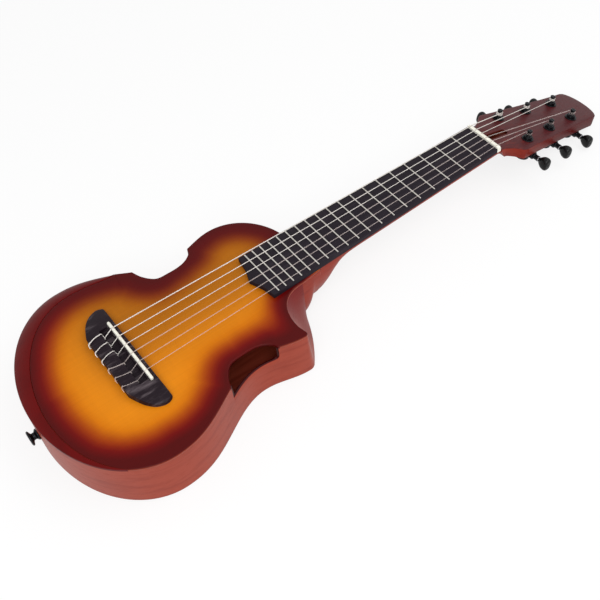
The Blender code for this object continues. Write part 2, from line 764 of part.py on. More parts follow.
def headstock_outline():
    """The headstock's face in its own plane: (distance from the nut, Y)."""
    start = (NUT_THICK + 3 * SEAT_GAP) / math.cos(HEAD_TILT)
    half = board_half(SCALE_LENGTH)
    run = HEAD_SHOULDER - start
    widening = HEAD_SHOULDER_HALF - half
    flare = smooth([(start + along * run, half + out * widening) for along, out in HEAD_FLARE], 3)
    length = HEAD_LENGTH - HEAD_TIP_ARC
    t = np.linspace(0, 1, 7)[1:]
    edge_y = HEAD_SHOULDER_HALF + (HEAD_TIP_HALF - HEAD_SHOULDER_HALF) * (1 - (1 - t) ** 1.35)
    edge = np.stack([HEAD_SHOULDER + (length - HEAD_SHOULDER) * t, edge_y], axis=1)
    tip = arc((length, 0), (HEAD_TIP_ARC, HEAD_TIP_HALF), 70, 0, 6)
    one = np.vstack([flare, edge, tip])
    return np.vstack([one, (one * (1, -1))[::-1][1:]])


def headstock_slab():
    """The headstock's slab. Its back starts further along than its face, to meet the round neck."""
    face = headstock_outline()
    start = face[0, 0]
    lean = HEAD_START_LEAN * (1 - np.clip((face[:, 0] - start) / (HEAD_SHOULDER - start), 0, 1))
    rings = []
    for height, shift in ((-HEAD_THICK, lean), (0.0, 0.0)):
        rings.append(np.column_stack([face[:, 0] + shift, face[:, 1], np.full(len(face), height)]))
    return loft("headstock", rings)


def post_places():
    """(number, side, distance from the nut, Y) of the six posts; side is +1 on the bass half."""
    places = []
    for number in range(1, STRING_COUNT + 1):
        side = 1 if number > STRING_COUNT / 2 else -1
        rank = STRING_COUNT - number if side > 0 else number - 1
        places.append((number, side, POST_FIRST + rank * POST_STEP, side * POST_OFFSETS[rank]))
    return places


def make_neck(material):
    """Neck, heel and headstock are one piece of wood."""
    step = JOIN_X + SEAT_GAP
    tail = SCALE_LENGTH + NUT_THICK + SEAT_GAP
    inside = np.linspace(RIDGE_X + SEAT_GAP, step, 5)
    outside = np.linspace(step + 0.0001, JOIN_X + 1.3 * HEEL_FRONT, 11)
    outside = np.concatenate([outside, np.linspace(JOIN_X + 2.4 * HEEL_FRONT, tail, 3)])
    rings = [neck_ring(x, INNER_TOP) for x in inside] + [neck_ring(x, TOP_Z) for x in outside]
    end = tail + HEAD_UNDERLAP
    sunk = TOP_Z + FACE_RISE - math.tan(HEAD_TILT) * (end - SCALE_LENGTH) - HEAD_BITE
    rings.append(neck_ring(tail + 0.0001, TOP_Z - HEAD_BITE, 0.985))
    rings.append(neck_ring(end, sunk, 0.985))
    neck = add_object("neck", loft("neck", rings), material, round_piece=True)
    combine(neck, add_tool("headstock_tool", headstock_slab(), HEAD), "UNION")
    radius = BUSH_RADIUS + SEAT_GAP
    for number, _, along, y in post_places():
        bore = turned("post_bore", ((-HEAD_THICK - OVERCUT, radius), (OVERCUT, radius)), 14)
        combine(neck, add_tool(f"post_bore_tool_{number}", bore, HEAD @ Matrix.Translation((along, y, 0))))
    pocket_end = SCALE_LENGTH + POCKET_END * math.cos(HEAD_TILT)
    round_end = arc((pocket_end - POCKET_HALF, 0), (POCKET_HALF, POCKET_HALF), -90, 90, 8)
    outline = np.vstack([round_end, [(tail, POCKET_HALF), (tail, -POCKET_HALF)]])
    pocket = prism("pocket", outline, TOP_Z - POCKET_FLOOR, TOP_Z + FACE_RISE + OVERCUT)
    combine(neck, add_tool("pocket_tool", pocket))
    half = ROD_WIDTH / 2 + SEAT_GAP
    low = (JOIN_X + ROD_FROM_JOIN, -half, TOP_Z - ROD_HEIGHT - 2 * SEAT_GAP)
    channel = box("rod_channel", low, (tail + 0.001, half, TOP_Z + OVERCUT))
    combine(neck, add_tool("rod_channel_tool", channel))


def make_truss_rod(material):
    """A flat double-acting rod with a round adjusting nut that looks into the headstock pocket."""
    start = JOIN_X + ROD_FROM_JOIN + SEAT_GAP
    end = SCALE_LENGTH + NUT_THICK
    top = TOP_Z - SEAT_GAP
    half = ROD_WIDTH / 2
    rod = box("truss_rod", (start, -half, top - ROD_HEIGHT), (end, half, top))
    rod = add_object("truss_rod", rod, material)
    at = Matrix.Translation((0, 0, top - ROD_HEIGHT / 2))
    face = end + ROD_NUT_LENGTH
    nut = turned("rod_nut", ((end - 0.002, ROD_NUT_RADIUS), (face, ROD_NUT_RADIUS)), 14, "X")
    combine(rod, add_tool("rod_nut_tool", nut, at), "UNION")
    socket = ((face - ROD_KEY_DEPTH, ROD_KEY_RADIUS), (face + OVERCUT, ROD_KEY_RADIUS))
    combine(rod, add_tool("rod_key_tool", turned("rod_key", socket, 6, "X"), at))


def board_end():
    """The fretboard's pointed end over the body, from the bass corner to the treble corner."""
    corner = LAST_FRET_X - BOARD_OVERHANG
    half = board_half(corner)
    one = smooth([
        (corner, half),
        (corner - 0.13 * BOARD_POINT, 0.78 * half),
        (corner - 0.30 * BOARD_POINT, 0.50 * half),
        (corner - 0.58 * BOARD_POINT, 0.28 * half),
        (corner - BOARD_POINT, 0.0),
    ], 3)
    return np.vstack([one, (one * (1, -1))[::-1][1:]])


def make_fretboard(material):
    end = SCALE_LENGTH - SEAT_GAP
    half = board_half(end)
    outline = np.vstack([[(end, -half), (end, half)], board_end()])
    board = add_object("fretboard", prism("fretboard", outline, BOARD_Z, BOARD_TOP), material)
    width = TANG_WIDTH / 2 + FRET_GAP
    floor = BOARD_TOP - TANG_DEPTH - 2 * FRET_GAP
    cuts = []
    for number in range(1, FRET_COUNT + 1):
        x = fret_x(number)
        reach = board_half(x) + OVERCUT
        cuts.append(((x - width, -reach, floor), (x + width, reach, BOARD_TOP + OVERCUT)))
    combine(board, add_tool("fret_slot_tool", boxes("fret_slots", cuts)))


def make_fret(number, material):
    """A fret: a half-round crown on the board and a tang in its slot."""
    x = fret_x(number)
    tang = TANG_WIDTH / 2
    crown = FRET_WIDTH / 2
    profile = [(-tang, -TANG_DEPTH), (tang, -TANG_DEPTH), (tang, 0), (crown, 0)]
    profile += [(crown * math.cos(a), FRET_CROWN * math.sin(a)) for a in np.radians((45, 90, 135))]
    profile += [(-crown, 0), (-tang, 0)]
    base = BOARD_TOP + FRET_GAP
    half = board_half(x) - FRET_SETBACK
    rings = []
    for side in (-1, 1):
        lean = FRET_END_LEAN / FRET_CROWN
        rings.append([(x + dx, side * (half - lean * max(0, dz)), base + dz) for dx, dz in profile])
    name = f"fret_{number:02d}"
    add_object(name, loft(name, rings), material, round_piece=True)


def make_nut(material):
    """The nut, with a slot for each string."""
    high = FRET_PLANE + NUT_RISE
    front = SCALE_LENGTH
    rear = SCALE_LENGTH + NUT_THICK
    half = board_half(SCALE_LENGTH)
    foot = [(front, BOARD_Z), (rear, BOARD_Z)]
    crown = [(rear, high - 0.0022), (rear - NUT_SOFT, high - 0.0007)]
    crown += [(front + NUT_SOFT, high), (front, high - 0.0005)]
    flat = half - NUT_END_FALL
    rings = []
    for y, fall in ((-half, NUT_END_FALL), (-flat, 0), (flat, 0), (half, NUT_END_FALL)):
        rings.append([(x, y, z) for x, z in foot] + [(x, y, z - fall) for x, z in crown])
    nut = add_object("nut", loft("nut", rings), material)
    floor = FRET_PLANE + NUT_SLOT_RISE
    cuts = []
    for number in range(1, STRING_COUNT + 1):
        y = string_y(number, STRING_PITCH_NUT)
        width = STRING_RADII[number - 1] + STRING_GAP
        cuts.append(((front - OVERCUT, y - width, floor), (rear + OVERCUT, y + width, high + OVERCUT)))
    combine(nut, add_tool("nut_slot_tool", boxes("nut_slots", cuts)))


def tie_route(number):
    """The tied end: up the tie block's front, over it, down its rear and forward through its hole."""
    radius = STRING_RADII[number - 1]
    y = string_y(number, STRING_PITCH_SADDLE)
    aside = y + math.copysign(TIE_SPREAD, y)
    base = TOP_Z + SEAT_GAP
    bend = STRING_GAP + radius
    over = base + BRIDGE_HEIGHT + bend
    hole = base + TIE_HOLE_HEIGHT
    rear = BRIDGE_REAR - bend
    front = TIE_SLOT_REAR + bend
    return [
        (front, aside, hole + 0.0006),
        (front, aside, over - bend),
        (front - 0.3 * bend, aside, over - 0.3 * bend),
        (front - bend, aside, over),
        (rear + bend, y + 0.1 * (aside - y), over),
        (rear + 0.3 * bend, y, over - 0.3 * bend),
        (rear, y, over - bend),
        (rear - 0.0004, y, hole + 0.0012),
        (rear + 0.0002, y, hole + 0.0002),
        (BRIDGE_REAR + 0.0006, y, hole),
        (TIE_SLOT_REAR + 0.0004, y, hole),
    ]


def winding_route(number):
    """The turns about the post, from the top down."""
    radius = STRING_RADII[number - 1]
    _, side, along, across = post_places()[number - 1]
    wide = POST_WAIST + STRING_GAP + radius
    turns = np.arange(int(WIND_TURNS * WIND_STEPS) + 1) * 2 * math.pi / WIND_STEPS
    drop = (2 * radius + WIND_GAP) * turns / (2 * math.pi)
    y = across - side * wide * np.cos(turns)
    places = np.stack([along + wide * np.sin(turns), y, WIND_TOP - drop, np.ones(len(turns))], axis=1)
    return (places @ np.array(HEAD).T)[:, :3]


def string_route(number):
    """The string's middle line from its tied end over saddle and nut to its winding."""
    radius = STRING_RADII[number - 1]
    y = string_y(number, STRING_PITCH_SADDLE)
    crest = FRET_PLANE + ACTION_AT_SADDLE - max(STRING_RADII) + radius
    nut_y = string_y(number, STRING_PITCH_NUT)
    nut_z = FRET_PLANE + NUT_SLOT_RISE + STRING_GAP + radius
    run = [
        (-0.0012, y, crest - 0.0005),
        (0.0, y, crest),
        (0.0012, y, crest),
        (SCALE_LENGTH + 0.0008, nut_y, nut_z),
        (SCALE_LENGTH + NUT_THICK * 0.6, nut_y, nut_z),
        (SCALE_LENGTH + NUT_THICK, nut_y, nut_z - 0.0001),
    ]
    return np.vstack([tie_route(number), run, winding_route(number)])


def make_string(number, material):
    name = f"string_{number}"
    points = string_route(number)
    curve = bpy.data.curves.new(name, "CURVE")
    curve.dimensions = "3D"
    curve.bevel_depth = STRING_RADII[number - 1]
    curve.bevel_resolution = 1
    curve.use_fill_caps = True
    curve.materials.append(material)
    spline = curve.splines.new("POLY")
    spline.points.add(len(points) - 1)
    spline.points.foreach_set("co", np.column_stack([points, np.ones(len(points))]).ravel())
    obj = bpy.data.objects.new(name, curve)
    bpy.context.scene.collection.objects.link(obj)


def tooth_outline():
    """The gear's outline as (radius, angle): a trapezoid for each tooth, set between two threads."""
    root = GEAR_PITCH_RADIUS - TOOTH_DEEP
    tip = GEAR_PITCH_RADIUS + TOOTH_TALL
    half_pitch = TOOTH_PITCH / 4 - TOOTH_PLAY
    half_root = (half_pitch + TOOTH_DEEP * TOOTH_SLOPE) / GEAR_PITCH_RADIUS
    half_tip = (half_pitch - TOOTH_TALL * TOOTH_SLOPE) / tip
    points = []
    for tooth in range(GEAR_TEETH):
        middle = (tooth + GEAR_PHASE) * 2 * math.pi / GEAR_TEETH
        points += [(root, middle - half_root), (tip, middle - half_tip)]
        points += [(tip, middle + half_tip), (root, middle + half_root)]
    return points


def round_points(places, angles):
    """Points about Z for each (height, radius)."""
    return [(radius * math.cos(a), radius * math.sin(a), z) for z, radius in places for a in angles]


def post_mesh():
    """The post with its gear: axis Z, zero at the headstock's face. The teeth follow the worm's lead."""
    lead = TOOTH_PITCH / (2 * math.pi * WORM_PITCH_RADIUS)
    twist = lead * GEAR_WIDTH / GEAR_PITCH_RADIUS
    teeth = tooth_outline()
    shaft = [
        (GEAR_HIGH, POST_RADIUS), (BUSH_TOP + 0.0002, POST_RADIUS), (BUSH_TOP + 0.0005, POST_WAIST),
        (POST_TOP - POST_CAP - 0.0004, POST_WAIST), (POST_TOP - POST_CAP, POST_RADIUS),
        (POST_TOP - 0.0004, POST_RADIUS), (POST_TOP, POST_RADIUS - 0.0006),
    ]
    spokes = [(i - 0.5 + GEAR_PHASE) * 2 * math.pi / GEAR_TEETH for i in range(GEAR_TEETH)]
    points = round_points(((GEAR_LOW - PIVOT_LENGTH, PIVOT_RADIUS), (GEAR_LOW, PIVOT_RADIUS)), spokes)
    for z, turn in ((GEAR_LOW, twist / 2), (GEAR_HIGH, -twist / 2)):
        points += [(r * math.cos(a + turn), r * math.sin(a + turn), z) for r, a in teeth]
    points += round_points(shaft, spokes)
    count = GEAR_TEETH
    outline = len(teeth)
    gear_start = 2 * count
    shaft_start = gear_start + 2 * outline
    faces = [list(range(count))] + grid_faces(0, 2, count)
    for inner, outer in ((count, gear_start), (shaft_start, gear_start + outline)):
        for i in range(count):
            tooth = [outer + 4 * i + k for k in range(4)]
            following = outer + (4 * i + 4) % outline
            faces.append([inner + i, *tooth, following, inner + (i + 1) % count])
    faces += grid_faces(gear_start, 2, outline) + grid_faces(shaft_start, len(shaft), count)
    faces.append([shaft_start + (len(shaft) - 1) * count + i for i in range(count)])
    return mesh_from("post", points, faces)


def knob_rings(angles):
    """Rings along Y of the oval knob, from its neck to its far end."""
    rings = []
    for place, wide, thick in KNOB_SHAPE:
        across = KNOB_THICK / 2 * thick * np.cos(angles)
        up = KNOB_WIDTH / 2 * wide * np.sin(angles)
        along = np.full(len(angles), KNOB_START + place * KNOB_LENGTH)
        rings.append(np.stack([across, along, up], axis=1))
    return rings


def worm_points():
    """Four profile points a step of one thread about Y, wound outwards."""
    root = WORM_PITCH_RADIUS - TOOTH_DEEP + 0.00008
    tip = WORM_PITCH_RADIUS + TOOTH_TALL
    half_pitch = TOOTH_PITCH / 4 - TOOTH_PLAY
    profile = [(-half_pitch - TOOTH_DEEP * TOOTH_SLOPE, root), (-half_pitch + TOOTH_TALL * TOOTH_SLOPE, tip)]
    profile += [(-y, r) for y, r in profile[::-1]]
    count = int(WORM_TURNS * WORM_STEPS)
    points = []
    for q in range(count + 1):
        angle = 2 * math.pi * q / WORM_STEPS
        middle = TOOTH_PITCH * (q - count / 2) / WORM_STEPS
        points += [(r * math.cos(angle), middle + dy, r * math.sin(angle)) for dy, r in profile]
    return points, root


def key_mesh():
    """Worm, shaft and knob in one piece along Y, its worm centred at zero.

    The worm's root joins each turn to the next, and a ring of shaft points closes it at each end.
    """
    steps = WORM_STEPS
    points, root = worm_points()
    first = len(points)
    count = first // 4 - 1
    angles = np.arange(steps) * 2 * math.pi / steps
    inner = [(-WORM_END, root), (-WORM_END - 0.0006, PIN_RADIUS), (-WORM_END - PIN_LENGTH, PIN_RADIUS)]
    collar = SLEEVE_END + RUN_GAP
    outer = [
        (WORM_END, root), (KEY_BORE_START, root), (KEY_BORE_START + 0.0004, KEY_RADIUS), (collar, KEY_RADIUS),
        (collar + 0.0002, KEY_COLLAR_RADIUS), (KNOB_START - 0.0003, KEY_COLLAR_RADIUS),
    ]
    for place, radius in inner + outer:
        points += [(radius * math.cos(a), place, radius * math.sin(a)) for a in angles]
    for ring in knob_rings(angles):
        points += [tuple(p) for p in ring]
    faces = []
    for q in range(count):
        here, there = 4 * q, 4 * (q + 1)
        faces += [[here + k, there + k, there + k + 1, here + k + 1] for k in range(3)]
    for q in range(count - steps):
        faces.append([4 * q + 3, 4 * (q + 1) + 3, 4 * (q + 1 + steps), 4 * (q + steps)])
    ring_in = first
    ring_out = first + len(inner) * steps
    for i in range(steps):
        faces.append([ring_in + i, ring_in + (i + 1) % steps, 4 * (i + 1), 4 * i])
    faces.append([ring_in, 0, 1, 2, 3, 4 * steps])
    start = count - steps
    for q in range(start, count):
        faces.append([4 * q + 3, 4 * (q + 1) + 3, ring_out + (q + 1) % steps, ring_out + q % steps])
    last = 4 * count
    faces.append([ring_out + count % steps, last + 3, last + 2, last + 1, last, 4 * start + 3])
    faces += grid_faces(ring_in, len(inner), steps)
    faces.append([ring_out - steps + i for i in range(steps)])
    chain = len(outer) + len(knob_rings(angles))
    faces += grid_faces(ring_out, chain, steps)
    faces.append([ring_out + (chain - 1) * steps + i for i in range(steps)])
    return mesh_from("key", points, faces)


def housing_profile():
    """(height, radius) of the can, the bushing through the headstock and its washer."""
    can = GEAR_PITCH_RADIUS + TOOTH_TALL + 2 * RUN_GAP + CAN_WALL
    roof = -HEAD_THICK - SEAT_GAP
    floor = GEAR_LOW - CAN_BELOW
    washer_top = SEAT_GAP + WASHER_THICK
    return [
        (floor, can - CAN_SOFT), (floor + CAN_SOFT, can), (roof, can), (roof + 0.0001, BUSH_RADIUS),
        (SEAT_GAP, BUSH_RADIUS), (SEAT_GAP + 0.0001, WASHER_RADIUS), (washer_top, WASHER_RADIUS),
        (washer_top + 0.0001, BUSH_RADIUS), (BUSH_TOP - 0.0005, BUSH_RADIUS),
        (BUSH_TOP, BUSH_RADIUS - 0.0006),
    ]


def housing_mesh():
    """The machine's sealed housing with its bushing: post axis Z, key axis along +Y."""
    pieces = (
        ("barrel", ((-WORM_END - 0.0033, BARREL_RADIUS), (BARREL_END, BARREL_RADIUS)), 12, "Y"),
        ("sleeve", ((BARREL_END - 0.001, SLEEVE_RADIUS), (SLEEVE_END, SLEEVE_RADIUS)), 10, "Y"),
        ("hex_nut", ((SEAT_GAP + 0.5 * WASHER_THICK, HEX_RADIUS), (BUSH_TOP - 0.0010, HEX_RADIUS)), 6, "Z"),
    )
    cavity = GEAR_PITCH_RADIUS + TOOTH_TALL + 2 * RUN_GAP
    worm_room = WORM_PITCH_RADIUS + TOOTH_TALL + 2 * RUN_GAP
    post_room, pivot_room = POST_RADIUS + RUN_GAP, PIVOT_RADIUS + RUN_GAP
    key_room, pin_room = KEY_RADIUS + RUN_GAP, PIN_RADIUS + RUN_GAP
    pin_end = -WORM_END - PIN_LENGTH - RUN_GAP
    rooms = (
        ("gear_room", ((GEAR_LOW - RUN_GAP, cavity), (-HEAD_THICK - SEAT_GAP - 0.0012, cavity)), 16, "Z"),
        ("worm_room", ((pin_end + 0.0012, worm_room), (KEY_BORE_START, worm_room)), 12, "Y"),
        ("post_bore", ((GEAR_LOW - 0.001, post_room), (BUSH_TOP + OVERCUT, post_room)), 12, "Z"),
        ("pivot_bore", ((GEAR_LOW - PIVOT_LENGTH - RUN_GAP, pivot_room), (GEAR_LOW, pivot_room)), 12, "Z"),
        ("key_bore", ((KEY_BORE_START - 0.0005, key_room), (SLEEVE_END + OVERCUT, key_room)), 10, "Y"),
        ("pin_bore", ((pin_end, pin_room), (0, pin_room)), 8, "Y"),
    )
    body = add_tool("housing_body_tool", turned("housing_body", housing_profile(), 14))
    key_axis = Matrix.Translation((WORM_OFFSET, 0, -WORM_LEVEL))
    for group, operation in ((pieces, "UNION"), (rooms, "DIFFERENCE")):
        for name, profile, steps, axis in group:
            matrix = key_axis if axis == "Y" else None
            combine(body, add_tool(f"{name}_tool", turned(name, profile, steps, axis), matrix), operation)
    return baked(body, "housing")


def drilled_post():
    """The post with its string hole."""
    post = add_tool("post_body_tool", post_mesh())
    hole = turned("string_hole", ((-0.004, STRING_HOLE_RADIUS), (0.004, STRING_HOLE_RADIUS)), 8, "X")
    combine(post, add_tool("string_hole_tool", hole, Matrix.Translation((0, 0, POST_TOP - 0.0032))))
    return baked(post, "drilled_post")


def make_tuners(metal, plastic):
    """Six machines. Each key and each post has its origin on the axis it turns about."""
    bass = (housing_mesh(), key_mesh(), drilled_post())
    meshes = {1: bass, -1: tuple(mirrored(mesh, mesh.name + "_treble") for mesh in bass)}
    key_axis = Matrix.Translation((WORM_OFFSET, 0, -WORM_LEVEL))
    for number, side, along, y in post_places():
        at = HEAD @ Matrix.Translation((along, y, 0))
        housing, key, post = meshes[side]
        add_object(f"tuner_{number}_housing", housing.copy(), metal, at, round_piece=True)
        add_object(f"tuner_{number}_key", key.copy(), plastic, at @ key_axis, round_piece=True)
        add_object(f"tuner_{number}_post", post.copy(), metal, at, round_piece=True)


def make_strap_button(material, pieces):
    """The strap button, its shank through the seam of the sides into the tail block."""
    seat = TAIL_X - SEAT_GAP
    tip = seat + SHANK_LENGTH
    profile = [
        (tip, SHANK_RADIUS * 0.6), (tip - 0.002, SHANK_RADIUS), (seat, SHANK_RADIUS),
        (seat - 0.0001, BUTTON_BASE_RADIUS), (seat - 0.0016, BUTTON_BASE_RADIUS),
        (seat - 0.0030, BUTTON_WAIST), (seat - 0.62 * BUTTON_LENGTH, BUTTON_WAIST),
        (seat - 0.80 * BUTTON_LENGTH, BUTTON_RADIUS),
        (seat - 0.92 * BUTTON_LENGTH, BUTTON_RADIUS), (seat - BUTTON_LENGTH, BUTTON_RADIUS * 0.72),
    ]
    at = Matrix.Translation((0, 0, BUTTON_HEIGHT))
    add_object("strap_button", turned("strap_button", profile, 16, "X"), material, at, round_piece=True)
    room = SHANK_RADIUS + SEAT_GAP
    hole = turned("shank_hole", ((TAIL_X - OVERCUT, room), (tip + SEAT_GAP, room)), 12, "X")
    tool = add_tool("shank_hole_tool", hole, at)
    for piece in pieces:
        combine(piece, tool)


def main():
    clear_scene()
    burst = make_material("sunburst_top", (0.60, 0.24, 0.05), 0.25)
    mahogany = make_material("mahogany", (0.30, 0.09, 0.06), 0.35)
    bevel = make_material("bevel_wood", (0.16, 0.03, 0.02), 0.30)
    inner_wood = make_material("inner_wood", (0.55, 0.40, 0.25), 0.7)
    dark_wood = make_material("dark_wood", (0.03, 0.027, 0.03), 0.5)
    bone = make_material("bone", (0.85, 0.85, 0.80), 0.35)
    steel = make_material("fret_metal", (0.60, 0.58, 0.55), 0.3, 1.0)
    black_metal = make_material("black_metal", (0.02, 0.02, 0.022), 0.35, 0.6)
    black_plastic = make_material("black_plastic", (0.015, 0.015, 0.017), 0.3)
    nylon = make_material("nylon", (0.75, 0.73, 0.68), 0.3)
    wound = make_material("wound_string", (0.62, 0.58, 0.50), 0.35, 0.7)
    ports = (port_tool(1), port_tool(-1))
    make_top(burst, ports)
    make_back(mahogany)
    bass_side = make_side("bass_side", BASS, BASS, BEVEL_BASS, -1, mahogany, ports[0])
    treble_side = make_side("treble_side", TREBLE, TREBLE_BACK, BEVEL_TREBLE, 1, mahogany, ports[1])
    make_bevel(bevel)
    make_neck_block(inner_wood)
    tail_block = make_tail_block(inner_wood)
    make_brace("top_brace", TOP_BRACE_X, TOP_BRACE_HALF, INNER_TOP, -1, inner_wood)
    make_brace("back_brace", BACK_BRACE_X, BACK_BRACE_HALF, INNER_BACK, 1, inner_wood)
    make_bridge_plate(inner_wood)
    make_bridge(dark_wood)
    make_saddle(bone)
    make_neck(mahogany)
    make_truss_rod(steel)
    make_fretboard(dark_wood)
    for number in range(1, FRET_COUNT + 1):
        make_fret(number, steel)
    make_nut(bone)
    for number in range(1, STRING_COUNT + 1):
        make_string(number, wound if number > STRING_COUNT // 2 else nylon)
    make_tuners(black_metal, black_plastic)
    make_strap_button(black_metal, (bass_side, treble_side, tail_block))


main()
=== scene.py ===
"""Looks of a small six-string travel guitar, a guitalele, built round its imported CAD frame.

Metres, +Z up, in the frame's own axes: X runs from under the saddle to the headstock and +Y is the
bass side. A shape here is a function of two parameters on a grid, or a profile carried along a
path, worked out as whole arrays. The sizes are the ones that the CAD source gives.
"""

import logging
import math
from dataclasses import dataclass, field
from enum import Enum
from typing import Any, Sequence

import bmesh
import bpy
import numpy as np
from mathutils import Matrix, Vector


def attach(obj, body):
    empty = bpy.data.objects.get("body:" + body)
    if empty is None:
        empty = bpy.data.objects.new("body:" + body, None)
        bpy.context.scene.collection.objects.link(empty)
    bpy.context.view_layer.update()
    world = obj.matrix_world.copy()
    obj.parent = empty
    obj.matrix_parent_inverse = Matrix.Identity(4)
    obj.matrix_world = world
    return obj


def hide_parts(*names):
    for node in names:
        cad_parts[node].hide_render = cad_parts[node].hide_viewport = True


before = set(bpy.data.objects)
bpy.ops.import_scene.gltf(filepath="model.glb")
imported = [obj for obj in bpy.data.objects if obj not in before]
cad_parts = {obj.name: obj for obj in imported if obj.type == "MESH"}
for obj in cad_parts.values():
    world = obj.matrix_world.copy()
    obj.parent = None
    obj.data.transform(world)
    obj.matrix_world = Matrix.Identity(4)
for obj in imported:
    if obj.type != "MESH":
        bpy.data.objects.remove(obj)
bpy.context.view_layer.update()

LOG = logging.getLogger("guitalele")
Array = np.ndarray
Color = tuple[float, float, float]
Rows = Sequence[Sequence[float]] | np.ndarray

MM = 0.001
VEIL = 0.09  # what full gloss adds to a colour under the white world
POLE = 0.00001  # the radius at which a turned form closes on its axis
SCALE_LENGTH = 0.433
HEAD_TILT = math.radians(13.9)
STRING_COUNT = 6
FRET_COUNT = 19


class Side(Enum):
    """A half of the instrument, with the sign of its Y."""

    BASS = 1
    TREBLE = -1


class Slot(Enum):
    """The material slots."""

    TOP = "sunburst_top"
    MAHOGANY = "mahogany"
    BEVEL = "bevel_wood"
    INNER = "inner_wood"
    DARK = "dark_wood"
    BONE = "bone"
    FRET = "fret_metal"
    METAL = "black_metal"
    PLASTIC = "black_plastic"
    NYLON = "nylon"
    WOUND = "wound_string"


def linear(red: float, green: float, blue: float, less: float = 0.0) -> Color:
    """A screen colour as the linear colour that a shader takes.

    Args:
        red: screen red from 0 to 255.
        green: screen green from 0 to 255.
        blue: screen blue from 0 to 255.
        less: what the gloss adds to the colour, taken off each channel.

    Returns:
        The three linear channels.
    """
    screen = np.array([red, green, blue]) / 255
    light = np.where(screen <= 0.04045, screen / 12.92, ((screen + 0.055) / 1.055) ** 2.4)
    return tuple(float(c) for c in np.maximum(light - less, 0.0005))


# Curves and grids


def catmull(points: Rows, per_span: int) -> Array:
    """A Catmull-Rom curve: each span is the cubic that leaves and meets along its neighbours' chord.

    Args:
        points: the points that it passes.
        per_span: how many points each span gets.

    Returns:
        The curve's points, the last one included.
    """
    points = np.asarray(points, dtype=float)
    padded = np.vstack([2 * points[0] - points[1], points, 2 * points[-1] - points[-2]])
    a, b, c, d = (padded[i : len(padded) - 3 + i][:, None, :] for i in range(4))
    t = (np.arange(per_span) / per_span)[None, :, None]
    curve = 0.5 * (2 * b + (c - a) * t + (2 * a - 5 * b + 4 * c - d) * t**2 + (3 * b - 3 * c + d - a) * t**3)
    return np.vstack([curve.reshape(-1, points.shape[1]), points[-1:]])


def lengths(path: Array) -> Array:
    """The length run at each point of a path, from its first point."""
    return np.concatenate([[0], np.cumsum(np.linalg.norm(np.diff(path, axis=0), axis=1))])


def evenly(path: Array, count: int) -> Array:
    """The path with its points set at equal runs.

    Args:
        path: points along a line.
        count: how many points are wanted.

    Returns:
        The new points.
    """
    run = lengths(path)
    marks = np.linspace(0, run[-1], count)
    return np.stack([np.interp(marks, run, path[:, k]) for k in range(path.shape[1])], axis=1)


def arc(center: Sequence[float], semi: Sequence[float], start: float, end: float, steps: int) -> Array:
    """Points of an ellipse between two angles in degrees: centre plus half-axes times cosine and sine."""
    angles = np.radians(np.linspace(start, end, steps + 1))
    return np.stack([center[0] + semi[0] * np.cos(angles), center[1] + semi[1] * np.sin(angles)], axis=1)


def around(count: int) -> Array:
    """Angles at equal steps, once round."""
    return np.arange(count) * 2 * math.pi / count


def quarter(steps: int) -> list[tuple[float, float]]:
    """A quarter round's shares, inwards and down: 1 less the cosine and 1 less the sine, 0 to 90 degrees."""
    return [(1 - math.cos(a), 1 - math.sin(a)) for a in np.radians(np.linspace(0, 90, steps))]


def ramp(value: Array | float, start: float, end: float) -> Array:
    """A soft step from 0 at start to 1 at end: three times the square less twice the cube."""
    t = np.clip((np.asarray(value, dtype=float) - start) / (end - start), 0, 1)
    return t * t * (3 - 2 * t)


def signed(value: Array, power: Array | float) -> Array:
    """A power that keeps its number's sign, as the squarish ellipses need it."""
    return np.sign(value) * np.abs(value) ** power


def inset(points: Array, distance: Array | float, closed: bool, inward: int) -> Array:
    """Each point moved square to the path, along the mean of its two segments' normals.

    Args:
        points: the path in X and Y.
        distance: how far each point moves.
        closed: whether the path is a ring.
        inward: +1 where inside lies left of the path, -1 where it lies right.

    Returns:
        The moved points.
    """
    if closed:
        before = points - np.roll(points, 1, axis=0)
        after = np.roll(points, -1, axis=0) - points
    else:
        steps = np.diff(points, axis=0)
        before = np.vstack([steps[:1], steps])
        after = np.vstack([steps, steps[-1:]])
    before = before / np.linalg.norm(before, axis=1)[:, None]
    after = after / np.linalg.norm(after, axis=1)[:, None]
    way = before + after
    way = way / np.linalg.norm(way, axis=1)[:, None]
    stretch = np.maximum((before * way).sum(axis=1), 0.5)
    normal = np.stack([-way[:, 1], way[:, 0]], axis=1) * inward
    return points + normal * (np.broadcast_to(distance, len(points)) / stretch)[:, None]


def fillet(before: Rows, corner: Rows, after: Rows, radius: float, steps: int) -> Array:
    """The arc that rounds a corner: its centre is on the bisector, radius over the half angle's sine away.

    Args:
        before: a point on the line that comes in.
        corner: the corner.
        after: a point on the line that goes out.
        radius: the arc's radius.
        steps: how many steps the arc has.

    Returns:
        The arc's points.
    """
    before, corner, after = (np.asarray(p, dtype=float) for p in (before, corner, after))
    into = (before - corner) / np.linalg.norm(before - corner)
    out = (after - corner) / np.linalg.norm(after - corner)
    half = math.acos(float(into @ out)) / 2
    middle = corner + (into + out) / np.linalg.norm(into + out) * radius / math.sin(half)
    first, last = (corner + way * radius / math.tan(half) - middle for way in (into, out))
    turns = np.linspace(0, 1, steps + 1)[:, None]
    fan = first * (1 - turns) + last * turns
    return middle + fan / np.linalg.norm(fan, axis=1)[:, None] * radius


def level(points: Array, height: float) -> Array:
    """Points in X and Y set at one height."""
    return np.column_stack([points, np.full(len(points), height)])


def layers(outline: Array, rows: Rows, inward: int = -1) -> Array:
    """A ring carried up: one layer for each row of (inset, height)."""
    return np.stack([level(inset(outline, s, True, inward) if s else outline, z) for s, z in rows])


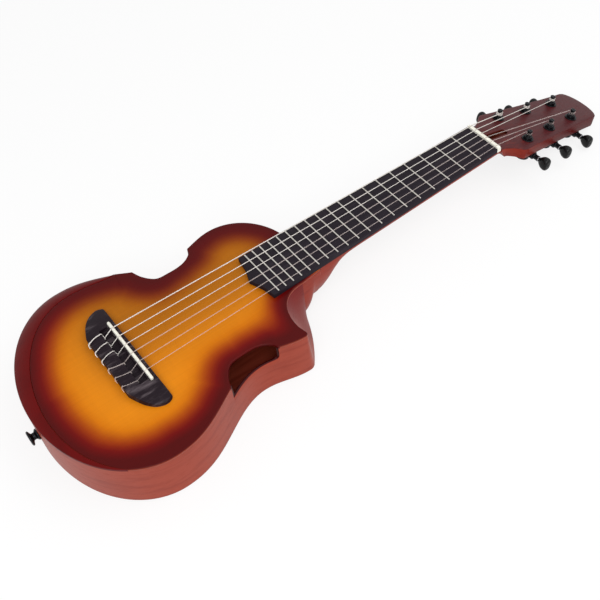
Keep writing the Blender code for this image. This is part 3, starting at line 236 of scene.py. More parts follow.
def profiles(path: Array, other: Array, columns: Sequence[tuple[Any, Array]]) -> Array:
    """A profile along two matching lines: each column is (share of the way across, height)."""
    across = [path + (other - path) * np.broadcast_to(s, len(path))[:, None] for s, _ in columns]
    return np.stack([np.column_stack([xy, z]) for xy, (_, z) in zip(across, columns)], axis=1)


def both_sides(half: Array) -> Array:
    """Half an outline and its mirror image in Y, with the turning point once."""
    return np.vstack([half, (half * (1, -1))[::-1][1:]])


def moved(points: Array, matrix: Matrix) -> Array:
    """The points after a 4 by 4 matrix."""
    table = np.array(matrix)
    return points @ table[:3, :3].T + table[:3, 3]


def polar(radius: Array, angles: Array, height: float) -> Array:
    """A ring about Z: its radius times cosine and sine, at a height."""
    return level(np.stack([radius * np.cos(angles), radius * np.sin(angles)], axis=1), height)


def lathe(profile: Rows, steps: int, axis: str = "Z") -> Array:
    """A profile turned about an axis: each ring is its radius times cosine and sine, at its place.

    Args:
        profile: rows of (place along the axis, radius).
        steps: points in a ring.
        axis: X, Y or Z, through the origin.

    Returns:
        A grid of points, one row a ring.
    """
    profile = np.asarray(profile, dtype=float)
    across = profile[:, 1:2] * np.cos(around(steps))
    up = profile[:, 1:2] * np.sin(around(steps))
    along = np.repeat(profile[:, :1], steps, axis=1)
    ways = {"X": (along, across, up), "Y": (across, along, up), "Z": (across, up, along)}
    return np.stack(ways[axis], axis=2)


def rounded(profile: Rows, radius: float, steps: int = 4) -> Array:
    """A profile with each inner corner rounded: a quadratic curve between points a radius away from it.

    Args:
        profile: the points of the profile, in a plane.
        radius: how far from a corner its curve starts.
        steps: how many steps each curve has.

    Returns:
        The profile's points, its two ends as they were.
    """
    corners = np.asarray(profile, dtype=float)
    rows = [corners[:1]]
    t = np.linspace(0, 1, steps + 1)[:, None]
    for before, corner, after in zip(corners, corners[1:], corners[2:]):
        back, ahead = before - corner, after - corner
        reach = [min(radius, 0.45 * np.linalg.norm(v)) / np.linalg.norm(v) for v in (back, ahead)]
        first, last = corner + back * reach[0], corner + ahead * reach[1]
        rows.append(first * (1 - t) ** 2 + 2 * corner * t * (1 - t) + last * t**2)
    return np.vstack(rows + [corners[-1:]])


def tube(path: Array, radius: float, up: Array, sides: int = 12) -> Array:
    """A round profile carried along a path, its two axes square to the path and to an up vector.

    Args:
        path: the middle line.
        radius: the tube's radius.
        up: a vector, or one for each point, that is nowhere along the path.
        sides: points in a ring.

    Returns:
        A grid of points, one row a ring.
    """
    tangent = np.gradient(path, axis=0)
    tangent /= np.linalg.norm(tangent, axis=1)[:, None]
    first = np.cross(tangent, np.broadcast_to(up, path.shape))
    first /= np.linalg.norm(first, axis=1)[:, None]
    second = np.cross(tangent, first)
    angles = around(sides)[None, :, None]
    return path[:, None] + radius * (first[:, None] * np.cos(angles) + second[:, None] * np.sin(angles))


class Shape:
    """Grids and caps that are gathered for one mesh, with named numbers at the points."""

    def __init__(self) -> None:
        """Starts empty."""
        self.points: list[Array] = []
        self.faces: list[Array] = []
        self.values: dict[str, list[tuple[int, Array]]] = {}
        self.count = 0

    def grid(
        self, points: Array, at: Matrix | None = None, wrap: bool = True, caps: bool = True, **values: Array
    ) -> "Shape":
        """Joins a grid of points by quads.

        Args:
            points: the grid, rows by columns by 3.
            at: moves the points first.
            wrap: whether each row is a closed ring.
            caps: whether a flat face closes the first row and the last.
            values: named numbers, one for each point of the grid.

        Returns:
            The shape itself.
        """
        rows, columns = points.shape[:2]
        flat = points.reshape(-1, 3)
        index = np.arange(rows * columns).reshape(rows, columns) + self.count
        self.points.append(moved(flat, at) if at is not None else flat)
        for name, numbers in values.items():
            spread = np.broadcast_to(numbers, (rows, columns)).reshape(-1)
            self.values.setdefault(name, []).append((self.count, spread))
        self.count += rows * columns
        right = np.roll(index, -1, axis=1) if wrap else index[:, 1:]
        left = index if wrap else index[:, :-1]
        quads = np.stack([left[:-1], right[:-1], right[1:], left[1:]], axis=-1)
        self.faces.append(quads.reshape(-1, 4))
        if caps:
            self.faces += [index[:1], index[-1:]]
        return self

    def turned(self, rows: Rows, at: Matrix, axis: str, sides: int, soft: float, steps: int = 4) -> "Shape":
        """Adds a turned solid: rows of (place, radius) with their corners softened."""
        return self.grid(lathe(rounded(rows, soft, steps), sides, axis), at)

    def mesh(self, name: str, sharp: float = 35.0) -> bpy.types.Mesh:
        """The mesh: points that meet are merged and every face turns outwards.

        Args:
            name: the mesh's name.
            sharp: the angle in degrees past which an edge stays hard.

        Returns:
            The mesh.
        """
        mesh = bpy.data.meshes.new(name)
        points = np.vstack(self.points)
        loops = np.concatenate([f.reshape(-1) for f in self.faces])
        sizes = np.concatenate([np.full(len(f), f.shape[1]) for f in self.faces])
        mesh.vertices.add(len(points))
        mesh.vertices.foreach_set("co", points.astype(np.float32).ravel())
        mesh.loops.add(len(loops))
        mesh.loops.foreach_set("vertex_index", loops.astype(np.int32))
        mesh.polygons.add(len(sizes))
        mesh.polygons.foreach_set("loop_start", np.concatenate([[0], np.cumsum(sizes)[:-1]]).astype(np.int32))
        for key, blocks in self.values.items():
            numbers = np.zeros(len(points), np.float32)
            for start, block in blocks:
                numbers[start : start + len(block)] = block
            mesh.attributes.new(key, "FLOAT", "POINT").data.foreach_set("value", numbers)
        mesh.update(calc_edges=True)
        tidy_mesh(mesh, sharp)
        return mesh


def tidy_mesh(mesh: bpy.types.Mesh, sharp: float) -> None:
    """Merges points that meet, turns the faces outwards and shades the mesh smooth up to an angle.

    Args:
        mesh: the mesh.
        sharp: the angle in degrees past which an edge stays hard.
    """
    bm = bmesh.new()
    bm.from_mesh(mesh)
    bmesh.ops.remove_doubles(bm, verts=bm.verts, dist=1e-6)
    bmesh.ops.dissolve_degenerate(bm, dist=1e-7, edges=bm.edges)
    bmesh.ops.recalc_face_normals(bm, faces=bm.faces)
    bm.to_mesh(mesh)
    bm.free()
    mesh.shade_smooth()
    mesh.set_sharp_from_angle(angle=math.radians(sharp))


def place_object(name: str, data: Any) -> bpy.types.Object:
    """A new object in the scene.

    Args:
        name: its name.
        data: its mesh, lamp or camera.

    Returns:
        The object, in the scene.
    """
    made = bpy.data.objects.new(name, data)
    bpy.context.scene.collection.objects.link(made)
    return made


def combined(base: bpy.types.Mesh, tools: Sequence[tuple[Shape, str]], sharp: float) -> bpy.types.Mesh:
    """A mesh after exact Booleans with other shapes.

    Args:
        base: the mesh to work on.
        tools: each shape with UNION or DIFFERENCE.
        sharp: the angle past which an edge stays hard.

    Returns:
        The new mesh.
    """
    holder = place_object(base.name, base)
    helpers = [holder]
    for shape, operation in tools:
        helpers.append(place_object("tool", shape.mesh("tool")))
        modifier = holder.modifiers.new("tool", "BOOLEAN")
        modifier.operation = operation
        modifier.solver = "EXACT"
        modifier.object = helpers[-1]
    graph = bpy.context.evaluated_depsgraph_get()
    graph.update()
    result = bpy.data.meshes.new_from_object(holder.evaluated_get(graph))
    for helper in helpers:
        bpy.data.objects.remove(helper, do_unlink=True)
    tidy_mesh(result, sharp)
    return result


# Shader nodes


class Link:
    """A node's output that takes part in sums as a number does."""

    def __init__(self, paint: "Paint", socket: bpy.types.NodeSocket) -> None:
        """Keeps the socket and the paint that it belongs to."""
        self.paint = paint
        self.socket = socket

    def math(self, operation: str, *others: Any) -> "Link":
        """A Math node on this value and others."""
        return self.paint.math(operation, self, *others)

    def __add__(self, other: Any) -> "Link":
        """This value plus another."""
        return self.math("ADD", other)

    __radd__ = __add__

    def __sub__(self, other: Any) -> "Link":
        """This value less another."""
        return self.math("SUBTRACT", other)

    def __rsub__(self, other: Any) -> "Link":
        """Another value less this one."""
        return self.paint.math("SUBTRACT", other, self)

    def __mul__(self, other: Any) -> "Link":
        """This value times another."""
        return self.math("MULTIPLY", other)

    __rmul__ = __mul__

    def soft(self, start: float, end: float) -> "Link":
        """A soft step of this value from 0 at start to 1 at end.

        Args:
            start: where the step starts.
            end: where the step ends.

        Returns:
            The step's value.
        """
        settings = {"interpolation_type": "SMOOTHSTEP"}
        inputs = {"Value": self, "From Min": start, "From Max": end}
        return self.paint.node("ShaderNodeMapRange", settings, inputs)


class Paint:
    """One material and the ways to add nodes to it."""

    def __init__(self, name: str, tree: bpy.types.NodeTree | None = None) -> None:
        """Makes the material with its plain shader, or takes a tree that is there already.

        Args:
            name: its name.
            tree: the node tree to work in, or none for a new material.
        """
        if tree is not None:
            self.tree = tree
            return
        self.material = bpy.data.materials.new(name)
        self.material.use_nodes = True
        self.tree = self.material.node_tree
        self.shader = self.tree.nodes["Principled BSDF"]

    def node(
        self,
        kind: str,
        settings: dict[str, Any] | None = None,
        inputs: dict[Any, Any] | None = None,
        output: int | str = 0,
    ) -> Link:
        """Adds any node.

        Args:
            kind: the node's type, as Blender names it.
            settings: its properties; stops holds a ramp's (place, color) rows.
            inputs: a value or a link for each named or numbered input.
            output: the output that is wanted.

        Returns:
            The output.
        """
        made = self.tree.nodes.new(kind)
        for key, value in (settings or {}).items():
            if key == "stops":
                self.fill_ramp(made.color_ramp, value)
            else:
                setattr(made, key, value)
        self.feed(made, inputs or {})
        return Link(self, made.outputs[output])

    def feed(self, made: bpy.types.Node, inputs: dict[Any, Any]) -> None:
        """Sets a node's inputs from values and links.

        Args:
            made: the node.
            inputs: its inputs, by name or number.
        """
        for key, value in inputs.items():
            if isinstance(value, Link):
                self.tree.links.new(value.socket, made.inputs[key])
            else:
                made.inputs[key].default_value = value

    def fill_ramp(self, table: bpy.types.ColorRamp, rows: Sequence[tuple[float, Color]]) -> None:
        """Fills a colour ramp with its stops.

        Args:
            table: the colour ramp.
            rows: the place and colour of each stop.
        """
        for place, _ in rows[2:]:
            table.elements.new(place)
        for element, (place, color) in zip(table.elements, rows):
            element.position = place
            element.color = (*color, 1.0)

    def math(self, operation: str, *values: Any) -> Link:
        """A Math node on up to three values."""
        return self.node("ShaderNodeMath", {"operation": operation}, dict(enumerate(values)))

    def scaled(self, vector: Link, scale: Sequence[float]) -> Link:
        """Coordinates times a scale."""
        return self.node("ShaderNodeMapping", {}, {"Vector": vector, "Scale": scale})

    def place(self, *scale: float) -> Link:
        """Object coordinates, each times its scale."""
        return self.scaled(self.node("ShaderNodeTexCoord", output="Object"), scale or (1, 1, 1))

    def along(self, *scale: float) -> Link:
        """The mesh's own run and rise numbers as coordinates, scaled."""
        joined = self.node("ShaderNodeCombineXYZ", {}, {"X": self.value("run"), "Y": self.value("rise")})
        return self.scaled(joined, scale)

    def value(self, name: str) -> Link:
        """A named number that the mesh carries."""
        return self.node("ShaderNodeAttribute", {"attribute_name": name}, output="Fac")

    def noise(self, vector: Link, scale: float, detail: float, rough: float = 0.5, bend: float = 0.0) -> Link:
        """Noise from 0 to 1 at a vector."""
        inputs = {"Vector": vector, "Scale": scale, "Detail": detail, "Roughness": rough, "Distortion": bend}
        return self.node("ShaderNodeTexNoise", {}, inputs)

    def mix(self, first: Any, second: Any, share: Any) -> Link:
        """One colour running into another by a share."""
        first, second = ((*c, 1.0) if isinstance(c, tuple) and len(c) == 3 else c for c in (first, second))
        return self.node("ShaderNodeMix", {"data_type": "RGBA"}, {0: share, 6: first, 7: second}, 2)

    def times(self, color: Link, amount: Link | float) -> Link:
        """A colour made lighter or darker by a number."""
        return self.node("ShaderNodeVectorMath", {"operation": "SCALE"}, {0: color, "Scale": amount})

    def bump(self, height: Link, strength: float, depth: float) -> Link:
        """A normal from a height, with its depth in metres."""
        inputs = {"Height": height, "Strength": strength, "Distance": depth}
        return self.node("ShaderNodeBump", {}, inputs, "Normal")

    def finish(self, **inputs: Any) -> bpy.types.Material:
        """Sets the shader's inputs, whose names are written with _ for a space, and returns the material."""
        self.feed(self.shader, {key.replace("_", " "): value for key, value in inputs.items()})
        return self.material


# Finishes


@dataclass(frozen=True)
class BurstFinish:
    """Amber spruce that runs to maroon at its edge, by the distance that the mesh carries."""

    name: str = "burst_spruce"
    reach: float = 60 * MM
    wander: float = 0.035
    grain: tuple[float, ...] = (14, 620, 60)
    silk: tuple[float, ...] = (260, 40, 60)
    rough: float = 0.34
    specular: float = 0.12
    # millimetres from the edge, and the screen colour there
    rows: tuple[tuple[float, float, float, float], ...] = (
        (0.0, 80, 14, 18),
        (8.0, 82, 17, 18),
        (12.0, 94, 24, 20),
        (16.0, 108, 29, 18),
        (20.0, 128, 42, 15),
        (24.0, 150, 60, 13),
        (28.0, 169, 79, 15),
        (32.0, 189, 100, 20),
        (36.0, 205, 115, 26),
        (42.0, 216, 127, 31),
        (52.0, 222, 133, 33),
        (60.0, 223, 134, 34),
    )
    rim_color: Color = (150, 66, 50)
    warm_color: Color = (136, 52, 28)

    def dress(self) -> bpy.types.Material:
        """The material: the burst ramp, fine grain along X, side wood on the plate's own edge, and the
        painted shade that the mesh carries as its tone.

        Returns:
            The material.
        """
        paint = Paint(self.name)
        stops = [(d * MM / self.reach, linear(r, g, b, VEIL * self.specular)) for d, r, g, b in self.rows]
        wander = paint.noise(paint.place(), 28.0, 2.0)
        distance = paint.value("edge") * (1 / self.reach) + (wander - 0.5) * self.wander
        color = paint.node("ShaderNodeValToRGB", {"stops": stops}, {"Fac": distance})
        grain = paint.noise(paint.place(*self.grain), 1.0, 3.0, 0.6)
        silk = paint.noise(paint.place(*self.silk), 1.0, 2.0)
        # the tone number is painted shade, darker on the bass half's middle
        color = paint.times(color, paint.value("tone") * (0.84 + grain * 0.17 + silk * 0.09))
        rim = paint.value("rim")
        warm = paint.mix(color, linear(*self.warm_color), rim.soft(0.05, 0.45))
        color = paint.mix(warm, linear(*self.rim_color), rim.soft(0.35, 0.95))
        normal = paint.bump(grain, 0.10, 0.0002)
        inputs = dict(Roughness=self.rough + silk * 0.10, Specular_IOR_Level=self.specular)
        return paint.finish(Base_Color=color, Normal=normal, **inputs)


@dataclass(frozen=True)
class WoodFinish:
    """A straight-grained wood: a base, darker streaks along the grain and short pores."""

    name: str
    base: Color
    streak: Color
    along: tuple[float, float, float] = (9.0, 150.0, 150.0)
    follows: bool = False
    streaks: float = 0.6
    pores: float = 0.12
    rough: float = 0.40
    specular: float = 0.16
    # darker tones that a number on the mesh mixes in: the burst's dark lacquer, and painted shade
    lacquer_and_shade_tones: tuple[Color, ...] = ()

    def tone(self, color: Color) -> Color:
        """A written colour less the veil that its gloss adds."""
        return linear(*color, VEIL * self.specular)

    def grain(self, paint: Paint, scale: float) -> Link:
        """The coordinates that the grain runs along, times a scale."""
        size = [s * scale for s in self.along]
        return paint.along(*size) if self.follows else paint.place(*size)

    def color(self, paint: Paint) -> tuple[Link, Link]:
        """The wood's colour, with the burst's dark lacquer and the painted shade that the mesh carries mixed
        in, and its pores as a height.

        Args:
            paint: the node tree in the making.

        Returns:
            The wood's colour, and its pores.
        """
        bands = paint.noise(self.grain(paint, 1.0), 1.0, 3.0, 0.55, 0.6)
        wide = paint.noise(self.grain(paint, 0.23), 1.0, 2.0)
        pores = paint.noise(self.grain(paint, 6.0), 1.0, 2.0, 0.7).soft(0.52, 0.72)
        color = paint.mix(self.tone(self.base), self.tone(self.streak), bands.soft(0.42, 0.78) * self.streaks)
        shade = 1.04 - wide * 0.10 - pores * self.pores
        for step, deeper in enumerate(self.lacquer_and_shade_tones):
            stain = paint.value("stain") * len(self.lacquer_and_shade_tones)
            color = paint.mix(color, self.tone(deeper), stain.soft(step, step + 1))
        return paint.times(color, shade), pores

    def finished(self, paint: Paint, color: Link, pores: Link) -> bpy.types.Material:
        """The material with its colour, and the pores pressed in.

        Args:
            paint: the node tree in the making.
            color: the wood's colour.
            pores: how deep its pores are at each point.

        Returns:
            The material.
        """
        normal = paint.bump(1 - pores, 0.25, 0.0001)
        inputs = dict(Roughness=self.rough + pores * 0.1, Specular_IOR_Level=self.specular)
        return paint.finish(Base_Color=color, Normal=normal, **inputs)

    def dress(self) -> bpy.types.Material:
        """The material."""
        paint = Paint(self.name)
        return self.finished(paint, *self.color(paint))


@dataclass(frozen=True)
class HeadWoodFinish(WoodFinish):
    """The neck's wood, plum-stained on the headstock's face, where the plum's purple tint is a painted sheen.
    """

    # the face's plum: a darker stain, and a painted sheen in its purple tint
    face: Color = (82, 46, 48)
    # painted shade: the neck's wood darkens towards the headstock's tip
    tip: Color = (86, 27, 23)
    slot_shade: Color = (74, 38, 30)
    origin: tuple[float, float] = (SCALE_LENGTH, 0.060)
    pocket_half: float = 0.0046
    pocket_x: tuple[float, float] = (0.4375, 0.472)

    def dress(self) -> bpy.types.Material:
        """The material: height over the tilted face picks the plum face, depth in the slot picks the painted
        shade there, and the wood darkens towards the tip as painted shade.

        Returns:
            The material.
        """
        paint = Paint(self.name)
        color, pores = self.color(paint)
        x = paint.node("ShaderNodeSeparateXYZ", {}, {"Vector": paint.place()})
        z = Link(paint, x.socket.node.outputs["Z"])
        aside = Link(paint, x.socket.node.outputs["Y"]).math("ABSOLUTE")
        height = (x - self.origin[0]) * math.sin(HEAD_TILT) + (z - self.origin[1]) * math.cos(HEAD_TILT)
        # painted shade towards the headstock's tip
        color = paint.mix(color, self.tone(self.tip), x.soft(0.400, 0.540))
        silk = paint.noise(self.grain(paint, 3.0), 1.0, 3.0, 0.7)
        stained = paint.mix(self.tone(self.face), color, silk.soft(0.50, 0.74) * 0.45 + 0.06)
        stained = paint.times(stained, 0.66 + silk * 0.66 - pores * 0.12)
        start, end = self.pocket_x
        color = paint.mix(color, stained, height.soft(-0.0011, -0.0004) * x.soft(start - 0.0015, start))
        # painted shade deep in the access slot
        sunk = 1 - height.soft(-0.0020, -0.0006)
        sunk = sunk * (1 - aside.soft(self.pocket_half, self.pocket_half + 0.0003))
        sunk = sunk * x.soft(start, start + 0.001) * (1 - x.soft(end, end + 0.002))
        color = paint.mix(color, self.tone(self.slot_shade), sunk * height.soft(-0.0110, -0.0104))
        return self.finished(paint, color, pores)


@dataclass(frozen=True)
class EbonyFinish(WoodFinish):
    """A near-black board wood with short grey streaks."""

    def dress(self) -> bpy.types.Material:
        """The material: dark ground, grey streaks where two noises meet, and open pores.

        Returns:
            The material.
        """
        paint = Paint(self.name)
        bands = paint.noise(self.grain(paint, 1.0), 1.0, 4.0, 0.6, 0.4)
        fine = paint.noise(self.grain(paint, 4.0), 1.0, 3.0, 0.7)
        share = bands.soft(0.48, 0.80) * self.streaks + fine.soft(0.5, 0.8) * 0.12
        color = paint.mix(self.tone(self.base), self.tone(self.streak), share)
        normal = paint.bump(fine, 0.35, 0.00008)
        inputs = dict(Roughness=self.rough + fine * 0.12, Specular_IOR_Level=self.specular)
        return paint.finish(Base_Color=color, Normal=normal, **inputs)


@dataclass(frozen=True)
class SmoothFinish:
    """Bone, plastic, lacquered metal or nylon: one tone with a faint cloud and fine handling marks."""

    name: str
    base: Color
    cloud: Color
    rough: float = 0.3
    metal: float = 0.0
    scale: float = 180.0
    specular: float = 0.2
    alpha: float = 1.0
    thins: float = 0.0

    def dress(self) -> bpy.types.Material:
        """The material; where the mesh's number post is 1, a clear one is thinner by the share thins.

        Returns:
            The material.
        """
        paint = Paint(self.name)
        spots = paint.noise(paint.place(), self.scale, 3.0)
        marks = paint.noise(paint.place(), self.scale * 9, 2.0, 0.7)
        color = paint.mix(linear(*self.base), linear(*self.cloud), spots.soft(0.35, 0.75))
        normal = paint.bump(marks, 0.12, 0.00003)
        rough = self.rough + marks * 0.10 - 0.05
        alpha = self.alpha * (1 - paint.value("post") * self.thins) if self.thins else self.alpha
        inputs = dict(Metallic=self.metal, Specular_IOR_Level=self.specular, Alpha=alpha)
        return paint.finish(Base_Color=color, Roughness=rough, Normal=normal, **inputs)


@dataclass(frozen=True)
class WoundFinish:
    """Silvery wire wound on a core: ridges along the string's own run, with painted shade between the wires.
    """

    name: str = "wound_silver"
    base: Color = (236, 230, 224)
    groove_shade: Color = (146, 138, 130)
    pitch: float = 0.34 * MM
    metal: float = 0.35

    def dress(self) -> bpy.types.Material:
        """The material: a sine of the run, one wave a wire.

        Returns:
            The material.
        """
        paint = Paint(self.name)
        wave = paint.math("SINE", paint.value("run") * (2 * math.pi / self.pitch)) * 0.5 + 0.5
        # painted shade between the wires
        color = paint.mix(linear(*self.groove_shade), linear(*self.base), wave.soft(0.0, 0.55))
        normal = paint.bump(wave, 0.6, 0.00006)
        inputs = dict(Roughness=0.34 + wave * 0.06, Metallic=self.metal)
        return paint.finish(Base_Color=color, Normal=normal, **inputs)


@dataclass(frozen=True)
class FretFinish:
    """Polished nickel: bright along the crown, and dark at the flanks, where it mirrors the board."""

    name: str = "fret_nickel"
    base: Color = (214, 210, 202)
    flank: Color = (74, 70, 72)

    def dress(self) -> bpy.types.Material:
        """The material: the mesh's own height over the board picks the tone.

        Returns:
            The material.
        """
        paint = Paint(self.name)
        marks = paint.noise(paint.place(), 1500.0, 2.0, 0.7)
        crown = paint.value("crown").soft(0.62, 0.97)
        color = paint.mix(linear(*self.flank), linear(*self.base), crown * (0.86 + marks * 0.14))
        normal = paint.bump(marks, 0.10, 0.00002)
        return paint.finish(Base_Color=color, Roughness=0.30 + marks * 0.08, Metallic=1.0, Normal=normal)


class Palette:
    """All finishes, each made once."""

    def __init__(self) -> None:
        """Makes every material."""
        side = dict(base=(157, 71, 55), streak=(118, 44, 36))
        bent = dict(follows=True, streaks=0.5)
        black = dict(specular=0.12)
        self.top = BurstFinish().dress()
        # the ports' cut faces take the burst's dark lacquer; inside the box and on the cutaway wall by the
        # heel it is painted shade
        lacquer_and_shade_tones = ((114, 26, 20), (62, 12, 9))
        wood = WoodFinish("side_mahogany", along=(16.0, 120.0, 1.0), lacquer_and_shade_tones=lacquer_and_shade_tones, **bent, **side)
        self.side = wood.dress()
        self.back = WoodFinish("back_mahogany", **side).dress()
        neck = HeadWoodFinish("neck_mahogany", (148, 57, 43), (108, 37, 29), along=(8.0, 120.0, 120.0))
        self.neck = neck.dress()
        bevel = dict(along=(22.0, 95.0, 1.0), rough=0.30, specular=0.11)
        self.bevel = WoodFinish("bevel_maroon", (98, 26, 19), (70, 15, 12), **bevel, **bent).dress()
        self.inside = WoodFinish("bare_inner_wood", (186, 150, 108), (150, 112, 74), rough=0.7).dress()
        self.lining = WoodFinish("lining_cedar", (150, 96, 66), (118, 70, 46), rough=0.7).dress()
        board = dict(along=(16.0, 190.0, 190.0), streaks=0.35, rough=0.50)
        self.board = EbonyFinish("board_black", (42, 38, 43), (70, 64, 70), **board, **black).dress()
        bridge = dict(along=(34.0, 150.0, 150.0), streaks=0.8, rough=0.46)
        self.bridge = EbonyFinish("bridge_black", (40, 34, 38), (108, 98, 102), **bridge, **black).dress()
        self.bone = SmoothFinish("bone_ivory", (240, 238, 226), (228, 226, 212), 0.34).dress()
        self.fret = FretFinish().dress()
        self.metal = SmoothFinish("black_plating", (30, 31, 34), (22, 22, 25), 0.26, 0.6).dress()
        self.plastic = SmoothFinish("black_knob", (14, 14, 15), (9, 9, 10), 0.24).dress()
        self.bright = SmoothFinish("bright_ring", (210, 210, 214), (188, 188, 194), 0.18, 1.0).dress()
        self.steel = SmoothFinish("rod_steel", (110, 108, 106), (84, 82, 80), 0.35, 1.0).dress()
        clear = dict(rough=0.22, alpha=0.30, thins=0.75)
        self.nylon = SmoothFinish("clear_nylon", (222, 208, 203), (200, 184, 179), **clear).dress()
        self.wound = WoundFinish().dress()


def add_piece(
    name: str,
    source: Shape | bpy.types.Mesh,
    material: bpy.types.Material,
    nodes: Sequence[str] = (),
    body: str = "instrument",
    sharp: float = 35.0,
) -> None:
    """Makes one piece, sets it on its body and reports it.

    Args:
        name: the piece's name.
        source: its gathered shape, or a finished mesh.
        material: its finish.
        nodes: the CAD nodes that it stands for.
        body: the CAD body that carries it.
        sharp: the angle past which an edge stays hard.
    """
    mesh = source.mesh(name, sharp) if isinstance(source, Shape) else source
    mesh.name = name
    mesh.materials.clear()
    mesh.materials.append(material)
    piece = place_object(name, mesh)
    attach(piece, body)
    if nodes:
        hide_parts(*nodes)
    LOG.info("%s: %d faces on %s, for %s", name, len(mesh.polygons), body, ", ".join(nodes) or "no node")


def dress_node(node: str, material: bpy.types.Material) -> None:
    """Gives a CAD node that stays in view its finish.

    Args:
        node: the CAD node's name.
        material: its finish.
    """
    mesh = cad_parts[node].data
    mesh.materials.clear()
    mesh.materials.append(material)
    LOG.info("%s: CAD node kept, finish %s", node, material.name)


# The instrument's plan, shared by its parts


@dataclass(frozen=True)
class Plan:
    """Heights, scale and outlines that more than one part reads."""

    scale_length: float = SCALE_LENGTH
    join_fret: int = 14
    pitch_nut: float = 0.00802
    pitch_saddle: float = 0.01193
    string_radii: tuple[float, ...] = (0.00036, 0.00041, 0.00050, 0.00038, 0.00045, 0.00055)
    action: float = 0.0055
    depth: float = 0.057
    top_thick: float = 0.0028
    back_thick: float = 0.0025
    side_thick: float = 0.0023
    tail_x: float = -0.1027
    lower_x: float = -0.020
    lower_half_bass: float = 0.1150
    lower_half_treble: float = 0.1125
    waist_x: float = 0.088
    waist_half: float = 0.0743
    waist_skew: float = 1.12
    upper_from_join: float = 0.0559
    upper_half: float = 0.0837
    shoulder_y: float = 0.018
    horn_reach: float = 0.0016
    horn_radius: float = 0.003
    ridge_from_join: float = 0.0229
    ridge_y: float = 0.0312
    back_horn_reach: float = 0.0030
    back_horn_radius: float = 0.008
    cut_length: float = 0.034
    cut_width: float = 0.039
    cut_power: float = 2.4
    back_bow: float = 0.0027
    bevel_width: float = 0.017
    bevel_peak: float = 0.625
    bevel_start_x: float = 0.036
    bevel_end_x: float = -0.058
    board_thick: float = 0.0051
    board_half_nut: float = 0.0234
    board_half_end: float = 0.0298
    fret_crown: float = 0.0010
    nut_thick: float = 0.0053
    gap: float = 0.0003
    face_rise: float = 0.003
    bout_points: int = 561
    tip_points: int = 25
    cut_points: int = 117
    least_step: float = 0.0003

    @property
    def join_x(self) -> float:
        """Where the body's top ends at the neck."""
        return self.fret_x(self.join_fret)

    @property
    def ridge_x(self) -> float:
        """Where the cutaway meets the heel."""
        return self.join_x - self.ridge_from_join

    @property
    def upper_x(self) -> float:
        """The upper bout's widest place."""
        return self.join_x - self.upper_from_join

    @property
    def board_z(self) -> float:
        """The fretboard's underside."""
        return self.depth + self.gap

    @property
    def board_top(self) -> float:
        """The fretboard's face."""
        return self.board_z + self.board_thick

    @property
    def fret_plane(self) -> float:
        """The frets' tops."""
        return self.board_top + 0.0001 + self.fret_crown

    @property
    def head(self) -> Matrix:
        """Takes (distance from the nut, Y, height over the headstock's face) to the frame."""
        at = Matrix.Translation((self.scale_length, 0, self.depth + self.face_rise))
        return at @ Matrix.Rotation(HEAD_TILT, 4, "Y")

    def fret_x(self, number: int) -> float:
        """A fret's place: the scale length over the number-th power of the twelfth root of two."""
        return self.scale_length * 2 ** (-number / 12)

    def board_half(self, x: Array | float) -> Array | float:
        """Half the fretboard's width at x, a straight taper from the last fret to the nut."""
        slope = (self.board_half_end - self.board_half_nut) / (self.scale_length - self.fret_x(FRET_COUNT))
        return self.board_half_nut + (self.scale_length - x) * slope

    def heel_half(self, x: Array | float) -> Array | float:
        """Half the neck's width: the fretboard's, spreading in the body to meet the cutaway's ridge."""
        spread = np.clip((self.join_x - x) / self.ridge_from_join, 0, 1)
        return self.board_half(x) + (self.ridge_y - self.gap - self.board_half(self.ridge_x)) * spread

    def string_y(self, number: int, pitch: float) -> float:
        """The place of string 1 (thin, treble) to 6 across the neck."""
        return (number - (STRING_COUNT + 1) / 2) * pitch

    def wave(self, x: tuple[float, float], half: tuple[float, float], steps: int, skew: float = 1.0) -> Array:
        """Half a wave of cosine between two half widths, its start left out.

        Args:
            x: where it starts and ends along X.
            half: the half widths there.
            steps: how many points it has, its start included.
            skew: a power that draws the steepest place to one end.

        Returns:
            The points.
        """
        t = np.linspace(0, 1, steps)[1:]
        swell = (half[0] + half[1]) / 2 + (half[0] - half[1]) / 2 * np.cos(math.pi * t**skew)
        return np.stack([x[0] + (x[1] - x[0]) * t, swell], axis=1)

    def bout(self, half: float) -> Array:
        """An ellipse round the tail, then half waves of cosine to the waist and to the upper bout.

        Args:
            half: the lower bout's half width.

        Returns:
            The points from the tail to the upper bout.
        """
        rear = arc((self.lower_x, 0), (self.lower_x - self.tail_x, half), 180, 90, 240)
        fall = self.wave((self.lower_x, self.waist_x), (half, self.waist_half), 160, self.waist_skew)
        rise = self.wave((self.waist_x, self.upper_x), (self.waist_half, self.upper_half), 90)
        return np.vstack([rear, fall, rise])

    def top_cut(self) -> Array:
        """The cutaway's edge on the top: a quarter of a squarish ellipse from the horn to the ridge.

        Returns:
            The points from the horn to the ridge.
        """
        angles = np.radians(np.linspace(180, 90, 241))
        along = self.ridge_x - self.cut_length * np.abs(np.cos(angles)) ** (2 / self.cut_power)
        across = np.abs(np.sin(angles)) ** (2 / self.cut_power)
        return np.stack([along, self.ridge_y + self.cut_width * (1 - across)], axis=1)

    def back_cut(self) -> Array:
        """The cutaway's edge on the back: a chord from horn to ridge, bowed outwards by a parabola.

        Returns:
            The points from the horn to the ridge.
        """
        corner = np.array([self.upper_x + self.back_horn_reach, self.upper_half])
        chord = np.array([self.ridge_x, self.ridge_y]) - corner
        outwards = np.array([-chord[1], chord[0]]) / np.linalg.norm(chord)
        u = np.linspace(0.12, 1, 120)[:, None]
        return corner + chord * u + outwards * self.back_bow * 4 * u * (1 - u)

    def horn(self, reach: float, radius: float, cut: Array) -> Array:
        """The fillet that rounds the horn between the upper bout and the cutaway."""
        corner = np.array([self.upper_x + reach, self.upper_half])
        return fillet(corner - (0.02, 0), corner, cut[0], radius, 24)

